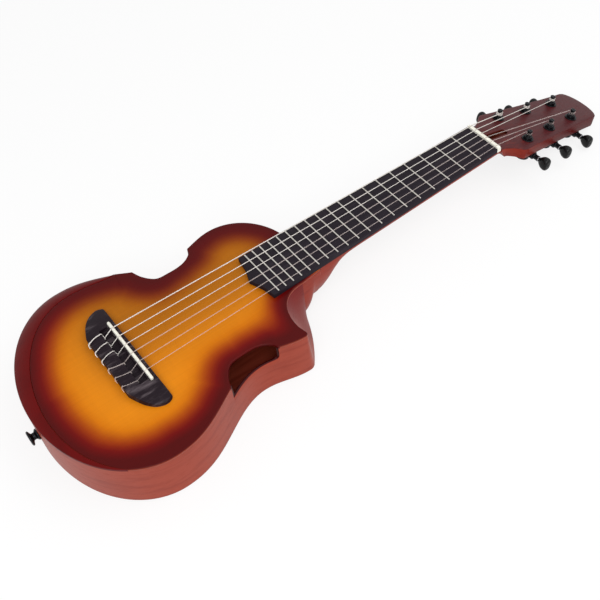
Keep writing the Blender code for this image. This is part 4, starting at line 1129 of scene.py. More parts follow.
    def path(self, side: Side, back: bool = False) -> Array:
        """A side's outline from the tail to the heel, at its own sign of Y.

        Args:
            side: which half.
            back: whether it is the outline on the back, which differs at the cutaway.

        Returns:
            Points at equal runs along the bout, round the horn and along the cutaway.
        """
        if side is Side.BASS:
            semi = (self.join_x - self.upper_x, self.upper_half - self.shoulder_y)
            heel = self.heel_half(self.join_x - self.side_thick) + self.gap
            end = math.degrees(math.asin((heel - self.shoulder_y) / semi[1]))
            shoulder = arc((self.upper_x, self.shoulder_y), semi, 90, end, 160)
            count = self.bout_points + self.tip_points + self.cut_points - 2
            return evenly(np.vstack([self.bout(self.lower_half_bass), shoulder[1:]]), count)
        cuts = (self.top_cut(), self.back_cut())
        sizes = ((self.horn_reach, self.horn_radius), (self.back_horn_reach, self.back_horn_radius))
        tips = [self.horn(*size, cut) for size, cut in zip(sizes, cuts)]
        cut, tip = cuts[back], tips[back]
        outline = self.bout(self.lower_half_treble)
        start = min(tips, key=lambda rows: rows[0, 0])[:1]
        outline = outline[outline[:, 0] < start[0, 0] - self.least_step]
        outline = evenly(np.vstack([outline, start]), self.bout_points)
        tip = evenly(np.vstack([outline[-1:], tip]), self.tip_points)
        cut = evenly(np.vstack([tip[-1:], cut[cut[:, 1] < tip[-1, 1] - self.least_step]]), self.cut_points)
        return np.vstack([outline, tip[1:], cut[1:]]) * (1, -1)

    def bevel_widths(self) -> dict[Side, Array]:
        """The arm bevel's width along each side: a half sine, its peak drawn to the bass rear.

        Returns:
            The width at each point of both sides' paths.
        """
        bass, treble = self.path(Side.BASS), self.path(Side.TREBLE)
        way = np.vstack([bass[::-1], treble[1:]])
        run = lengths(way)
        on_bass = way[:, 1] > 0
        starts = run[on_bass & (way[:, 0] <= self.bevel_start_x)][0]
        ends = run[~on_bass & (way[:, 0] <= self.bevel_end_x)][-1]
        u = np.clip((run - starts) / (ends - starts), 0, 1)
        width = self.bevel_width * np.sin(math.pi * u**self.bevel_peak)
        width = np.where(width < self.least_step, 0, width)
        return {Side.BASS: width[: len(bass)][::-1], Side.TREBLE: width[len(bass) - 1 :]}


@dataclass(frozen=True)
class Port:
    """A sound port's cut: a curve into the top's edge, carried down through the upper part of the side."""

    start: float = 0.0498
    end: float = 0.1082
    inner: float = 0.0631
    deep: float = 0.0172
    corner: float = 0.005
    # share of the cut's length, and how far outside its inner line the edge lies there
    bends: tuple[tuple[float, float], ...] = (
        (0.09, 0.0124),
        (0.25, 0.0017),
        (0.47, 0.0),
        (0.68, 0.0004),
        (0.83, 0.0030),
        (0.955, 0.0085),
        (1.0, 0.0160),
    )
    start_out: float = 0.0149

    def curve(self, plan: Plan) -> Array:
        """The cut's curve into the top, at positive Y.

        Args:
            plan: the instrument's plan.

        Returns:
            The curve's points.
        """
        span = self.end - self.start
        rows = [(self.start, plan.waist_half + self.start_out)]
        rows += [(self.start + share * span, self.inner + out) for share, out in self.bends]
        return catmull(rows, 24)

    def edge(self, plan: Plan, x: Array, tuck: float = 0.0) -> Array:
        """The cut's Y at each x, far out where there is no cut; tuck draws the front end back at its foot.

        Args:
            plan: the instrument's plan.
            x: places along X.
            tuck: how far the front end is drawn back, 0 to 1.

        Returns:
            The cut's Y at each place, 1 where there is no cut.
        """
        curve = self.curve(plan)
        near = np.clip((curve[:, 0] - (self.end - 3 * self.corner)) / (3 * self.corner), 0, 1)
        return np.interp(x, curve[:, 0] - near * tuck * self.corner, curve[:, 1], left=1.0, right=1.0)

    def floor(self, plan: Plan, points: Array) -> Array:
        """The height at which the cut starts over each point: its floor, and a quarter round in front.

        Args:
            plan: the instrument's plan.
            points: places in X and Y on a wall.

        Returns:
            A height for each, 1 where the cut passes it by.
        """
        shares = np.linspace(0, 1, 15)
        tucks = 1 - np.sqrt(1 - (1 - shares) ** 2)
        inside = np.stack([np.abs(points[:, 1]) - self.edge(plan, points[:, 0], t) for t in tucks])
        first = np.argmax(inside > 0, axis=0)
        here = np.take_along_axis(inside, first[None], 0)[0]
        before = np.take_along_axis(inside, np.maximum(first - 1, 0)[None], 0)[0]
        part = np.where((first > 0) & (before > -0.5), here / np.maximum(here - before, 1e-9), 0)
        rise = self.corner * np.clip((first - part) / (len(shares) - 1), 0, 1)
        return np.where((inside > 0).any(axis=0), plan.depth - self.deep + rise, 1.0)


# The body


@dataclass
class Body:
    """Top, back, bent sides, arm bevel and linings of the box."""

    plan: Plan
    port: Port = field(default_factory=Port)
    top_round: float = 0.0011
    crease_round: float = 0.0004
    back_round: float = 0.0014
    slope: float = 0.32
    bevel_thick: float = 0.003
    bevel_crown: float = 0.0009
    bevel_round: float = 0.0012
    lip: float = 0.0008
    lip_round: float = 0.0008
    lining_in: float = 0.0029
    lining_wide: float = 0.005
    lining_tall: float = 0.011
    lining_pitch: float = 0.006
    saw_cut: float = 0.0009
    burst_tight: float = 0.25
    burst_blend: float = 0.020
    cut_shift: float = 0.004
    # places along X, and how much deeper in the burst the edge lies there
    bass_shift: tuple[tuple[float, float], ...] = (
        (-0.103, 0.007),
        (-0.030, 0.007),
        (0.002, 0.008),
        (0.024, 0.006),
        (0.044, 0.000),
        (0.056, 0.002),
        (0.074, 0.007),
        (0.096, 0.009),
        (0.111, 0.0035),
        (0.132, 0.0045),
    )
    treble_shift: tuple[tuple[float, float], ...] = (
        (-0.103, 0.006),
        (-0.082, 0.005),
        (-0.072, 0.002),
        (-0.057, -0.002),
        (-0.038, -0.0035),
        (-0.016, -0.0035),
        (0.006, 0.000),
        (0.026, 0.003),
        (0.045, 0.002),
        (0.057, 0.006),
        (0.076, 0.010),
        (0.097, 0.008),
        (0.113, -0.001),
        (0.134, 0.001),
    )
    fan_x: float = -0.058
    shoulder_half: float = 0.078
    span_points: tuple[int, ...] = (130, 330, 110, 190)
    spine_x: tuple[float, ...] = (0.075, 0.112, 0.160)

    def paired(self, bass: Array, treble: Array) -> tuple[Array, Array, Array]:
        """Both edges with as many points between matching marks, and the middle point each pair looks to.

        Args:
            bass: the bass edge from the tail.
            treble: the treble edge from the tail.

        Returns:
            The two edges and the middle line.
        """
        edges = []
        for edge in (bass, treble):
            marks = [0, np.argmax(edge[:, 0] > self.fan_x), np.argmax(edge[:, 0] > self.plan.waist_x)]
            marks += [np.flatnonzero(np.abs(edge[:, 1]) > self.shoulder_half)[-1], len(edge) - 1]
            spans = zip(marks, marks[1:], self.span_points)
            edges.append(np.vstack([evenly(edge[a : b + 1], n + 1)[:-1] for a, b, n in spans] + [edge[-1:]]))
        share = np.concatenate([[0], np.cumsum(self.span_points)])
        middle = np.interp(np.arange(share[-1] + 1), share, [self.fan_x, self.fan_x, *self.spine_x])
        return edges[0], edges[1], np.column_stack([middle, 0 * middle])

    def ring(self, bass: Array, treble: Array) -> Array:
        """One closed ring: the bass edge forward and the treble edge back, with the tail's point once."""
        return np.vstack([bass, treble[:0:-1]])

    def plate(
        self, bass: Array, treble: Array, rounds: Rows, shares: Array, low: float
    ) -> tuple[Array, Array]:
        """Rings of a plate: up its edge, over the rounding, and across its face to the middle line.

        Args:
            bass: the bass edge from the tail.
            treble: the treble edge, point for point.
            rounds: (inset, height) of each ring of the edge.
            shares: how far each ring of the face goes to the middle line.
            low: the height of the plate's other face.

        Returns:
            The grid of points, and whether each row lies on the face.
        """
        bass, treble, middle = self.paired(bass, treble)
        outline = self.ring(bass, treble)
        middle = self.ring(middle, middle)
        rows = [level(outline + (middle - outline) * share, low) for share in (1.0, 0.5)]
        rows += list(layers(outline, rounds))
        start = len(rows)
        edge = rows[-1][:, :2]
        rows += [level(edge + (middle - edge) * share, rounds[-1][1]) for share in shares]
        return np.stack(rows), np.arange(len(rows)) >= start - 1

    def distance(self, points: Array, outline: Array, shift: Array) -> Array:
        """The distance of each point from a line of segments plus each segment's shift, the least of all.

        Args:
            points: places in X and Y.
            outline: the line's points.
            shift: what each point of the line adds.

        Returns:
            Each place's distance, never under 0.
        """
        a, b = outline[:-1], outline[1:]
        shift = (shift[:-1] + shift[1:]) / 2
        along = b - a
        square = np.maximum((along**2).sum(axis=1), 1e-12)
        result = np.empty(len(points))
        for start in range(0, len(points), 4000):
            part = points[start : start + 4000, None] - a[None]
            t = np.clip((part * along).sum(axis=2) / square, 0, 1)
            away = np.sqrt(((part - t[..., None] * along) ** 2).sum(axis=2))
            result[start : start + 4000] = (away + shift).min(axis=1)
        return np.maximum(result, 0)

    def burst_depth(self, points: Array, bass: Array, treble: Array) -> Array:
        """How deep in the burst each point lies: its distance from the edge, a soft least of two edges.

        Args:
            points: places in X and Y.
            bass: the bass edge from the tail.
            treble: the treble edge from the tail.

        Returns:
            The depth of each point.
        """
        horn = np.argmax((treble[:, 0] > 0.125) & (treble[:, 1] > -0.080))
        outer = np.vstack([treble[:horn][::-1], bass])
        bass_side = np.interp(outer[:, 0], *np.transpose(self.bass_shift))
        treble_side = np.interp(outer[:, 0], *np.transpose(self.treble_shift))
        first = self.distance(points, outer, np.where(outer[:, 1] > 0, bass_side, treble_side))
        cut = treble[horn - 1 :]
        second = self.distance(points, cut, np.full(len(cut), self.cut_shift)) * (1 + self.burst_tight)
        near = np.clip(1 - np.abs(first - second) / self.burst_blend, 0, 1)
        return np.minimum(first, second) - near**2 * self.burst_blend / 4

    def top_edges(self) -> tuple[Array, Array]:
        """The top's bass and treble edges: the outline, inset by the bevel and cut by the ports.

        Returns:
            The bass edge and the treble edge, each from the tail to the neck.
        """
        widths = self.plan.bevel_widths()
        edges = []
        for side in Side:
            seam = widths[side] + 0.00005 * (widths[side] > 0)
            edge = inset(self.plan.path(side), seam, False, -side.value)
            cut = self.port.edge(self.plan, edge[:, 0])
            edge[:, 1] = side.value * np.minimum(np.abs(edge[:, 1]), cut)
            edge[0, 1] = 0
            edges.append(edge)
        edges[0][0, 0] = edges[1][0, 0] = (edges[0][0, 0] + edges[1][0, 0]) / 2
        join = self.plan.join_x
        neck = np.array([[join, edges[0][-1, 1]]])
        ridge = np.array([[join, -self.plan.heel_half(join)]])
        return np.vstack([edges[0], neck]), np.vstack([edges[1], ridge])

    def make_top(self, palette: Palette) -> None:
        """The top plate, with its depth in the burst, its own edge and its painted shade as numbers.

        Args:
            palette: the finishes.
        """
        bass, treble = self.top_edges()
        high, bulge = self.plan.depth, self.top_round
        low = high - self.plan.top_thick
        rounds = [(0.0002, low), (0.0, low + 0.0002)]
        rounds += [(bulge * s, high - bulge * t) for s, t in quarter(6)]
        shares = np.concatenate([np.linspace(0, 0.5, 28)[1:], np.linspace(0.5, 1, 12)[1:]])
        grid, face = self.plate(bass, treble, rounds, shares, low)
        x, y, z = np.moveaxis(grid, 2, 0)
        flat = self.burst_depth(grid[face].reshape(-1, 3)[:, :2], bass[::3], treble[::3])
        flat = flat.reshape(-1, grid.shape[1])
        edge = np.broadcast_to(flat[:1], grid.shape[:2]).copy()
        edge[face] = flat
        rim = np.clip((high - z) / (2.2 * bulge), 0, 1)
        rim *= (x < self.port.start - 0.0002) | (x > self.port.end + 0.0012)
        # painted shade: the bass half's middle, away from the edge, is darker, as the light falls off there
        painted_bass_shade = ramp(y, -0.050, 0.025) * ramp(x, -0.065, 0.005) * ramp(edge, 0.004, 0.020)
        shape = Shape().grid(grid, caps=False, edge=edge, rim=rim, tone=1 - 0.43 * painted_bass_shade)
        add_piece("top_spruce", shape, palette.top, ["top_plate"], sharp=50)

    def make_back(self, palette: Palette) -> None:
        """The flat back with its soft outer edge.

        Args:
            palette: the finishes.
        """
        bass, treble = self.plan.path(Side.BASS), self.plan.path(Side.TREBLE, back=True)
        bass[0] = treble[0] = (bass[0] + treble[0]) / 2
        high, bulge = self.plan.back_thick, self.back_round
        rounds = [(0.0, high)] + [(bulge * s, bulge * t) for s, t in quarter(6)]
        grid, _ = self.plate(bass, treble, rounds, np.linspace(0, 1, 9)[1:], high)
        shape = Shape().grid(grid, caps=False)
        add_piece("back_board", shape, palette.back, ["back_plate"], sharp=50)

    def wall_drop(self, widths: Array) -> Array:
        """How far the side's top edge lies under the top's face."""
        thick, near = self.plan.top_thick, np.clip(widths / 0.002, 0, 1)
        return thick + near * (self.bevel_thick - thick) + widths * self.slope

    def fine(self, path: Array) -> Array:
        """Two points more between every two of the path."""
        marks = np.arange(3 * len(path) - 2) / 3
        return np.stack([np.interp(marks, np.arange(len(path)), path[:, k]) for k in range(2)], axis=1)

    def wall(self, side: Side, back: bool, thick: Array) -> tuple[Array, Array]:
        """A side's outer and inner line, closed at the tail, on its top edge or at its foot.

        Args:
            side: which half.
            back: whether it is the wall's foot, on the back.
            thick: the wall's thickness at each point.

        Returns:
            The outer line and the inner line.
        """
        outer = self.fine(self.plan.path(side, back))
        outer[0, 1] = 0
        inner = inset(outer, thick, False, -side.value)
        inner[0, 1] = 0
        if side is Side.BASS:
            inner[-1] = outer[-1] - (self.plan.side_thick, 0)
        return outer, inner

    def make_side(self, side: Side, palette: Palette) -> None:
        """A bent side: a wall's profile carried along the outline, thicker and lower at the port.

        Args:
            side: which half.
            palette: the finishes.
        """
        plan, port = self.plan, self.port
        path = self.fine(plan.path(side))
        run = lengths(path)
        widths = self.fine(np.repeat(plan.bevel_widths()[side][:, None], 2, axis=1))[:, 0]
        near = ramp(path[:, 0], port.start - 0.012, port.start - 0.002)
        near = near * (1 - ramp(path[:, 0], port.end + 0.002, port.end + 0.012))
        thick = plan.side_thick + self.lip * near
        tops, feet = self.wall(side, False, thick), self.wall(side, True, thick)
        full = plan.depth - self.wall_drop(widths)
        over = [np.minimum(full, port.floor(plan, p)) for p in tops]
        low = np.full(len(path), plan.back_thick)
        curl = self.lip_round * ((full - over[0] > 0.0005) | (full - over[1] > 0.0005))
        share = curl / thick
        # (share of the wall's thickness, height): up the outside, round the two lips, down the inside
        columns = [(0 * share, low + (over[0] - curl - low) * k / 6) for k in range(7)]
        columns += [(0.3 * share, over[0] - 0.3 * curl), (share, over[0]), (1 - share, over[1])]
        columns += [(1 - 0.3 * share, over[1] - 0.3 * curl), (1 + 0 * share, over[1] - curl)]
        columns += [(1 + 0 * share, low)]
        rows = []
        for s, z in columns:
            rise = ((z - low) / (full - low))[:, None]
            outer, inner = (foot + (top - foot) * rise for top, foot in zip(tops, feet))
            rows.append(np.column_stack([outer + (inner - outer) * s[:, None], z]))
        grid = np.stack(rows, axis=1)
        place = np.arange(len(columns))[None]
        # the ports' cut faces take the burst's dark lacquer; the inner wall is darkened as painted shade, and
        # so is the cutaway wall towards the heel, more up its height
        within = ((place > 8) | (place > 6) & (curl[:, None] > 0)).astype(float)
        cut = ramp(run, run[-1] - 0.062, run[-1] - 0.026) * (side is Side.TREBLE)
        stain = np.maximum(within, 0.5 * cut[:, None] * np.linspace(0.55, 1.1, len(columns)))
        shape = Shape().grid(grid, run=run[:, None], rise=grid[..., 2], stain=stain)
        name = side.name.lower()
        add_piece(f"{name}_bent_side", shape, palette.side, [f"{name}_side"], sharp=50)

    def make_bevel(self, palette: Palette) -> None:
        """The arm bevel: from the crease down a low crown to a rounded outer edge.

        Args:
            palette: the finishes.
        """
        plan = self.plan
        widths = plan.bevel_widths()
        way = np.vstack([plan.path(Side.BASS)[::-1], plan.path(Side.TREBLE)[1:]])
        width = np.concatenate([widths[Side.BASS][::-1], widths[Side.TREBLE][1:]])
        crease = inset(way, width, False, 1)
        keep = width > 0
        way, width, crease = way[keep], width[keep], crease[keep]
        drop = width * self.slope
        soft = self.crease_round
        lean = np.minimum(soft / width, 0.3)
        # (share of the width in from the outer edge, height over the top's face)
        columns = [(1.0, -plan.top_thick + 0 * drop), (1.0, -soft + 0 * drop)]
        columns += [(1 - 0.3 * lean, -0.3 * soft + 0 * drop), (1 - lean, -lean * drop)]
        bulge = np.minimum(self.bevel_round, 0.4 * width)
        for u in np.linspace(0.12, 1, 9)[:-1]:
            out = u * (1 - bulge / width)
            crown = self.bevel_crown * width / plan.bevel_width * 4 * u * (1 - u)
            columns.append((1 - out, -drop * out + crown))
        for a in np.radians(np.linspace(25, 90, 5)):
            columns.append((bulge / width * (1 - np.sin(a)), -drop - bulge * (1 - np.cos(a)) * 0.9))
        columns += [(0 * drop, -drop - np.minimum(self.bevel_thick, plan.top_thick + 0.1 * width))]
        grid = profiles(way, crease, [(s, plan.depth + z) for s, z in columns])
        shape = Shape().grid(grid, run=lengths(way)[:, None], rise=grid[..., 2])
        add_piece("arm_bevel_strip", shape, palette.bevel, ["arm_bevel"], sharp=60)

    def make_linings(self, palette: Palette) -> None:
        """Kerfed linings along the back, inside both sides: a strip whose height dips at each saw cut.

        Args:
            palette: the finishes.
        """
        plan = self.plan
        low = plan.back_thick + 0.0001
        for side in Side:
            path = evenly(plan.path(side), 1500)
            path = path[(path[:, 0] < 0.125) & (path[:, 0] > plan.tail_x + 0.016)]
            near = plan.side_thick + self.lining_in
            outer, inner = (inset(path, d, False, -side.value) for d in (near, near + self.lining_wide))
            cut = (lengths(path) % self.lining_pitch) < self.saw_cut
            # (share of the width, share of the height)
            columns = [(0.0, 0.0 * cut), (0.0, 1.0 - 0.0 * cut), (0.3, 1.0 - 0.75 * cut)]
            columns += [(1.0, 0.35 - 0.2 * cut), (1.0, 0.0 * cut)]
            columns = [(s, low + self.lining_tall * z) for s, z in columns]
            shape = Shape().grid(profiles(outer, inner, columns))
            add_piece(f"back_lining_{side.name.lower()}", shape, palette.lining, sharp=30)

    def build(self, palette: Palette) -> None:
        """Makes every piece of the box and dresses the inner CAD nodes.

        Args:
            palette: the finishes.
        """
        self.make_top(palette)
        self.make_back(palette)
        for side in Side:
            self.make_side(side, palette)
        self.make_bevel(palette)
        self.make_linings(palette)
        for node in ("tail_block", "top_brace", "back_brace", "bridge_plate"):
            dress_node(node, palette.inside)
        # the neck block shows as a thin line at the heel's foot, so it has the back's wood
        dress_node("neck_block", palette.back)


# Bridge and strings


@dataclass
class Bridge:
    """The tie bridge with its rounded wings, and the saddle."""

    plan: Plan
    front: float = 0.0050
    rear: float = -0.0246
    half: float = 0.0645
    block_half: float = 0.0372
    height: float = 0.0082
    tip_height: float = 0.0036
    slot_front: float = -0.0029
    slot_rear: float = -0.0115
    slot_floor: float = 0.0020
    slot_round: float = 0.0012
    hole_height: float = 0.0041
    hole_radius: float = 0.0011
    saddle_thick: float = 0.0030
    saddle_half: float = 0.0400
    saddle_sink: float = 0.0040
    saddle_play: float = 0.0001
    bed_round: float = 0.0010

    def wing(self, y: Array) -> Array:
        """How far out on a wing each place is, from 0 at the block to 1 at the tip."""
        return np.clip((np.abs(y) - self.block_half) / (self.half - self.block_half), 0, 1)

    def body_mesh(self) -> bpy.types.Mesh:
        """The bridge uncut: a profile whose height falls and whose rear draws in along each wing.

        Returns:
            The mesh, before its cuts.
        """
        y = self.half * np.sin(np.linspace(-90, 90, 181) * math.pi / 180)
        wing = self.wing(y)
        tip = np.maximum(0, (np.abs(y) / self.half - 0.94) / 0.06) ** 2
        tall = self.height + (self.tip_height - self.height) * wing**1.6
        front = self.front + 0.0010 * wing - 0.0050 * tip
        rear = self.rear + (self.front - self.rear) * (0.36 * wing + 0.26 * wing**4) + 0.0030 * tip
        soft = 0.0010 + 0.0010 * wing
        base = self.plan.depth + 0.00002
        columns = [(rear, base + 0 * y), (front, base + 0 * y)]
        columns += [(front - soft * s, base + tall - soft * t) for s, t in quarter(6)]
        columns += [(rear + soft * t, base + tall - soft * s) for s, t in quarter(6)]
        grid = np.stack([np.column_stack([x, y, z]) for x, z in columns], axis=1)
        return Shape().grid(grid).mesh("bridge_body", 40)

    def slot_shape(self, x: Sequence[float], half: float, heights: Sequence[float], soft: float) -> Shape:
        """An upright cutter with rounded ends: a four-sided outline with its corners turned.

        Args:
            x: its two ends along X.
            half: half its length along Y.
            heights: its foot and its top.
            soft: how far from a corner its curve starts.

        Returns:
            The cutter's shape.
        """
        corners = [(x[0], 0), (x[0], half), (x[1], half), (x[1], -half), (x[0], -half), (x[0], 0)]
        outline = rounded(corners, soft, 6)[:-1]
        return Shape().grid(np.stack([level(outline, z) for z in heights]))

    def build(self, palette: Palette) -> None:
        """Makes the bridge and the saddle.

        Args:
            palette: the finishes.
        """
        plan = self.plan
        base = plan.depth + plan.gap
        top = base + self.height
        clear = top + 0.01
        bed = self.saddle_thick / 2 + self.saddle_play
        slot = (self.slot_rear, self.slot_front)
        cutters = [self.slot_shape(slot, self.block_half, (base + self.slot_floor, clear), self.slot_round)]
        bed_half, bed_heights = self.saddle_half + self.saddle_play, (top - self.saddle_sink, clear)
        cutters.append(self.slot_shape((-bed, bed), bed_half, bed_heights, self.bed_round))
        rows = [(self.rear - 0.002, self.hole_radius), (self.slot_rear + 0.001, self.hole_radius)]
        for number in range(1, STRING_COUNT + 1):
            at = Matrix.Translation((0, plan.string_y(number, plan.pitch_saddle), base + self.hole_height))
            cutters.append(Shape().grid(lathe(rows, 16, "X"), at))
        block = combined(self.body_mesh(), [(cutter, "DIFFERENCE") for cutter in cutters], 40)
        add_piece("bridge_block", block, palette.bridge, ["bridge"])
        self.make_saddle(palette)

    def make_saddle(self, palette: Palette) -> None:
        """The saddle: a stadium outline that draws in over a half-round crown.

        Args:
            palette: the finishes.
        """
        plan = self.plan
        low = plan.depth + plan.gap + self.height - self.saddle_sink
        high = plan.fret_plane + plan.action - max(plan.string_radii) - plan.gap
        half = self.saddle_thick / 2
        ends = arc((0, self.saddle_half - half), (half, half), 0, 180, 20)
        outline = np.vstack([ends, (ends * (1, -1))[::-1]])
        angles = np.radians(np.linspace(10, 90, 8))
        rows = [(0.0, low), (0.0, high - half)]
        rows += [(half * (1 - math.cos(a)) * 0.96, high - half * (1 - math.sin(a))) for a in angles]
        shape = Shape().grid(layers(outline, rows, 1))
        add_piece("saddle_bone", shape, palette.bone, ["saddle"], sharp=50)


@dataclass
class Strings:
    """Six strings, each tied at the bridge and wound on its post."""

    plan: Plan
    bridge: Bridge
    spread: float = 0.0029
    nut_rise: float = 0.0004
    post_waist: float = 0.0024
    wind_turns: float = 3.25
    wind_gap: float = 0.00008
    wind_top: float = 0.0085
    tail_length: float = 0.0040
    crest_sink: float = 0.00008
    hug: float = 0.0001
    post_shade: tuple[float, float] = (0.052, 0.048)

    def tie(self, number: int) -> Array:
        """From the loop's end in front of the tie block, over it, back through its hole to the saddle.

        Args:
            number: the string's number, from 1 on the treble side.

        Returns:
            The points.
        """
        plan, bridge = self.plan, self.bridge
        radius = plan.string_radii[number - 1]
        y = plan.string_y(number, plan.pitch_saddle)
        outward = math.copysign(1, y)
        base = plan.depth + plan.gap
        over = base + bridge.height + radius + self.hug
        hole = base + bridge.hole_height
        rear = bridge.rear - radius - self.hug
        crest = plan.fret_plane + plan.action - max(plan.string_radii) + radius - self.crest_sink
        front = bridge.slot_rear + radius + self.hug
        aside = y + outward * self.spread
        bow = outward * (0.0007 if y > 0 else 0.0)
        rows = [
            (front + 0.0006, y - outward * 0.0012, hole + 0.0004),
            (front + 0.0010, y + outward * 0.0006, hole - 0.0006),
            (front + 0.0004, aside, hole + 0.0010),
            (front, aside, over - 0.0012),
            (front - 0.0006, aside, over - 0.0002),
            (front - 0.0016, aside - outward * 0.0001, over + 0.0001),
            (0.5 * (front + rear), y + outward * self.spread * 0.62 + bow, over),
            (rear + 0.0014, y + outward * 0.0003, over),
            (rear + 0.0003, y, over - 0.0005),
            (rear, y, over - 0.0014),
            (rear - 0.0001, y, hole + 0.0014),
            (rear + 0.0005, y, hole + 0.0002),
            (bridge.rear + 0.0016, y, hole),
            (bridge.slot_rear, y, hole),
            (bridge.slot_rear + 0.0012, y, hole + 0.0004),
            (-0.0022, y, crest - 0.0010),
            (-0.0010, y, crest - 0.0001),
            (0.0002, y, crest + 0.00003),
            (0.0016, y, crest),
        ]
        return catmull(rows, 8)

    def winding(self, number: int, machine: "Machines") -> Array:
        """Turns about the post from the top down, and the end drawn into it.

        Args:
            number: the string's number, from 1 on the treble side.
            machine: the tuning machines.

        Returns:
            The points.
        """
        radius = self.plan.string_radii[number - 1]
        side, along, across = machine.place(number)
        wide = self.post_waist + radius + 0.00003
        turns = np.linspace(0, self.wind_turns * 2 * math.pi, int(self.wind_turns * 40))
        drop = (2 * radius + self.wind_gap) * turns / (2 * math.pi)
        drawn = wide * (1 - 0.95 * ramp(turns, turns[-1] - 0.35, turns[-1]))
        x, y = along + drawn * np.sin(turns), across - side * drawn * np.cos(turns)
        return moved(np.stack([x, y, self.wind_top - drop], axis=1), self.plan.head)

    def path(self, number: int, machine: "Machines") -> tuple[Array, Array]:
        """The whole middle line, and an up vector for each point that turns from Y to the post's axis.

        Args:
            number: the string's number, from 1 on the treble side.
            machine: the tuning machines.

        Returns:
            The points, and the up vectors.
        """
        plan = self.plan
        radius = plan.string_radii[number - 1]
        nut_y = plan.string_y(number, plan.pitch_nut)
        nut_z = plan.fret_plane + self.nut_rise + plan.gap + radius
        # (distance past the nut's front, drop)
        bends = ((0.0006, 0.0), (0.0022, 0.0), (0.0040, 0.0001), (plan.nut_thick, 0.0004))
        crossing = np.array([(plan.scale_length + x, nut_y, nut_z - z) for x, z in bends])
        tie, over = self.tie(number), catmull(crossing, 4)
        free = tie[-1] + (crossing[0] - tie[-1]) * np.linspace(0, 1, 60)[1:-1, None]
        wound = self.winding(number, machine)
        last = over[-1] + (wound[0] - over[-1]) * np.linspace(0, 1, 12)[1:-1, None]
        points = np.vstack([tie, free, over, last, wound])
        share = np.zeros(len(points))
        share[len(tie) : len(tie) + len(free)] = np.linspace(0, 1, len(free))
        share[len(tie) + len(free) :] = 1
        axis = np.array(plan.head)[:3, 2]
        return points, np.array([0, 1, 0]) * (1 - share[:, None]) + axis * share[:, None]

    def tail(self, number: int) -> Array:
        """The loop's free end: a short curl held under the strand at the block's rear edge.

        Args:
            number: the string's number, from 1 on the treble side.

        Returns:
            The points.
        """
        plan, bridge = self.plan, self.bridge
        radius = plan.string_radii[number - 1]
        y = plan.string_y(number, plan.pitch_saddle)
        high = plan.depth + plan.gap + bridge.height
        rear = bridge.rear - radius
        rows = [
            (rear + 0.0012, y + 0.0008, high + radius + 0.0001),
            (rear - 0.0001 - radius, y + 0.0002, high - 0.0006),
            (rear - 0.0006 - radius, y - 0.0014, high - 0.0016),
            (rear - 0.0004 - radius, y - self.tail_length, high - 0.0022),
        ]
        return catmull(rows, 8)

    def build(self, palette: Palette, machine: "Machines") -> None:
        """Makes the six strings.

        Args:
            palette: the finishes.
            machine: the tuning machines.
        """
        for number in range(1, STRING_COUNT + 1):
            radius = self.plan.string_radii[number - 1]
            points, up = self.path(number, machine)
            run = lengths(points)[:, None]
            post = ramp(run, *(run[-1, 0] - back for back in self.post_shade))
            shape = Shape().grid(tube(points, radius, up), run=run, post=post)
            tail = self.tail(number)
            shape.grid(tube(tail, radius, np.array([0.3, 0.0, 1.0])), run=lengths(tail)[:, None])
            wound = number > STRING_COUNT // 2
            material, slot = (palette.wound, Slot.WOUND) if wound else (palette.nylon, Slot.NYLON)
            add_piece(f"string_line_{number}", shape, material, [f"string_{number}"], sharp=60)


# Neck, fretboard, frets and nut


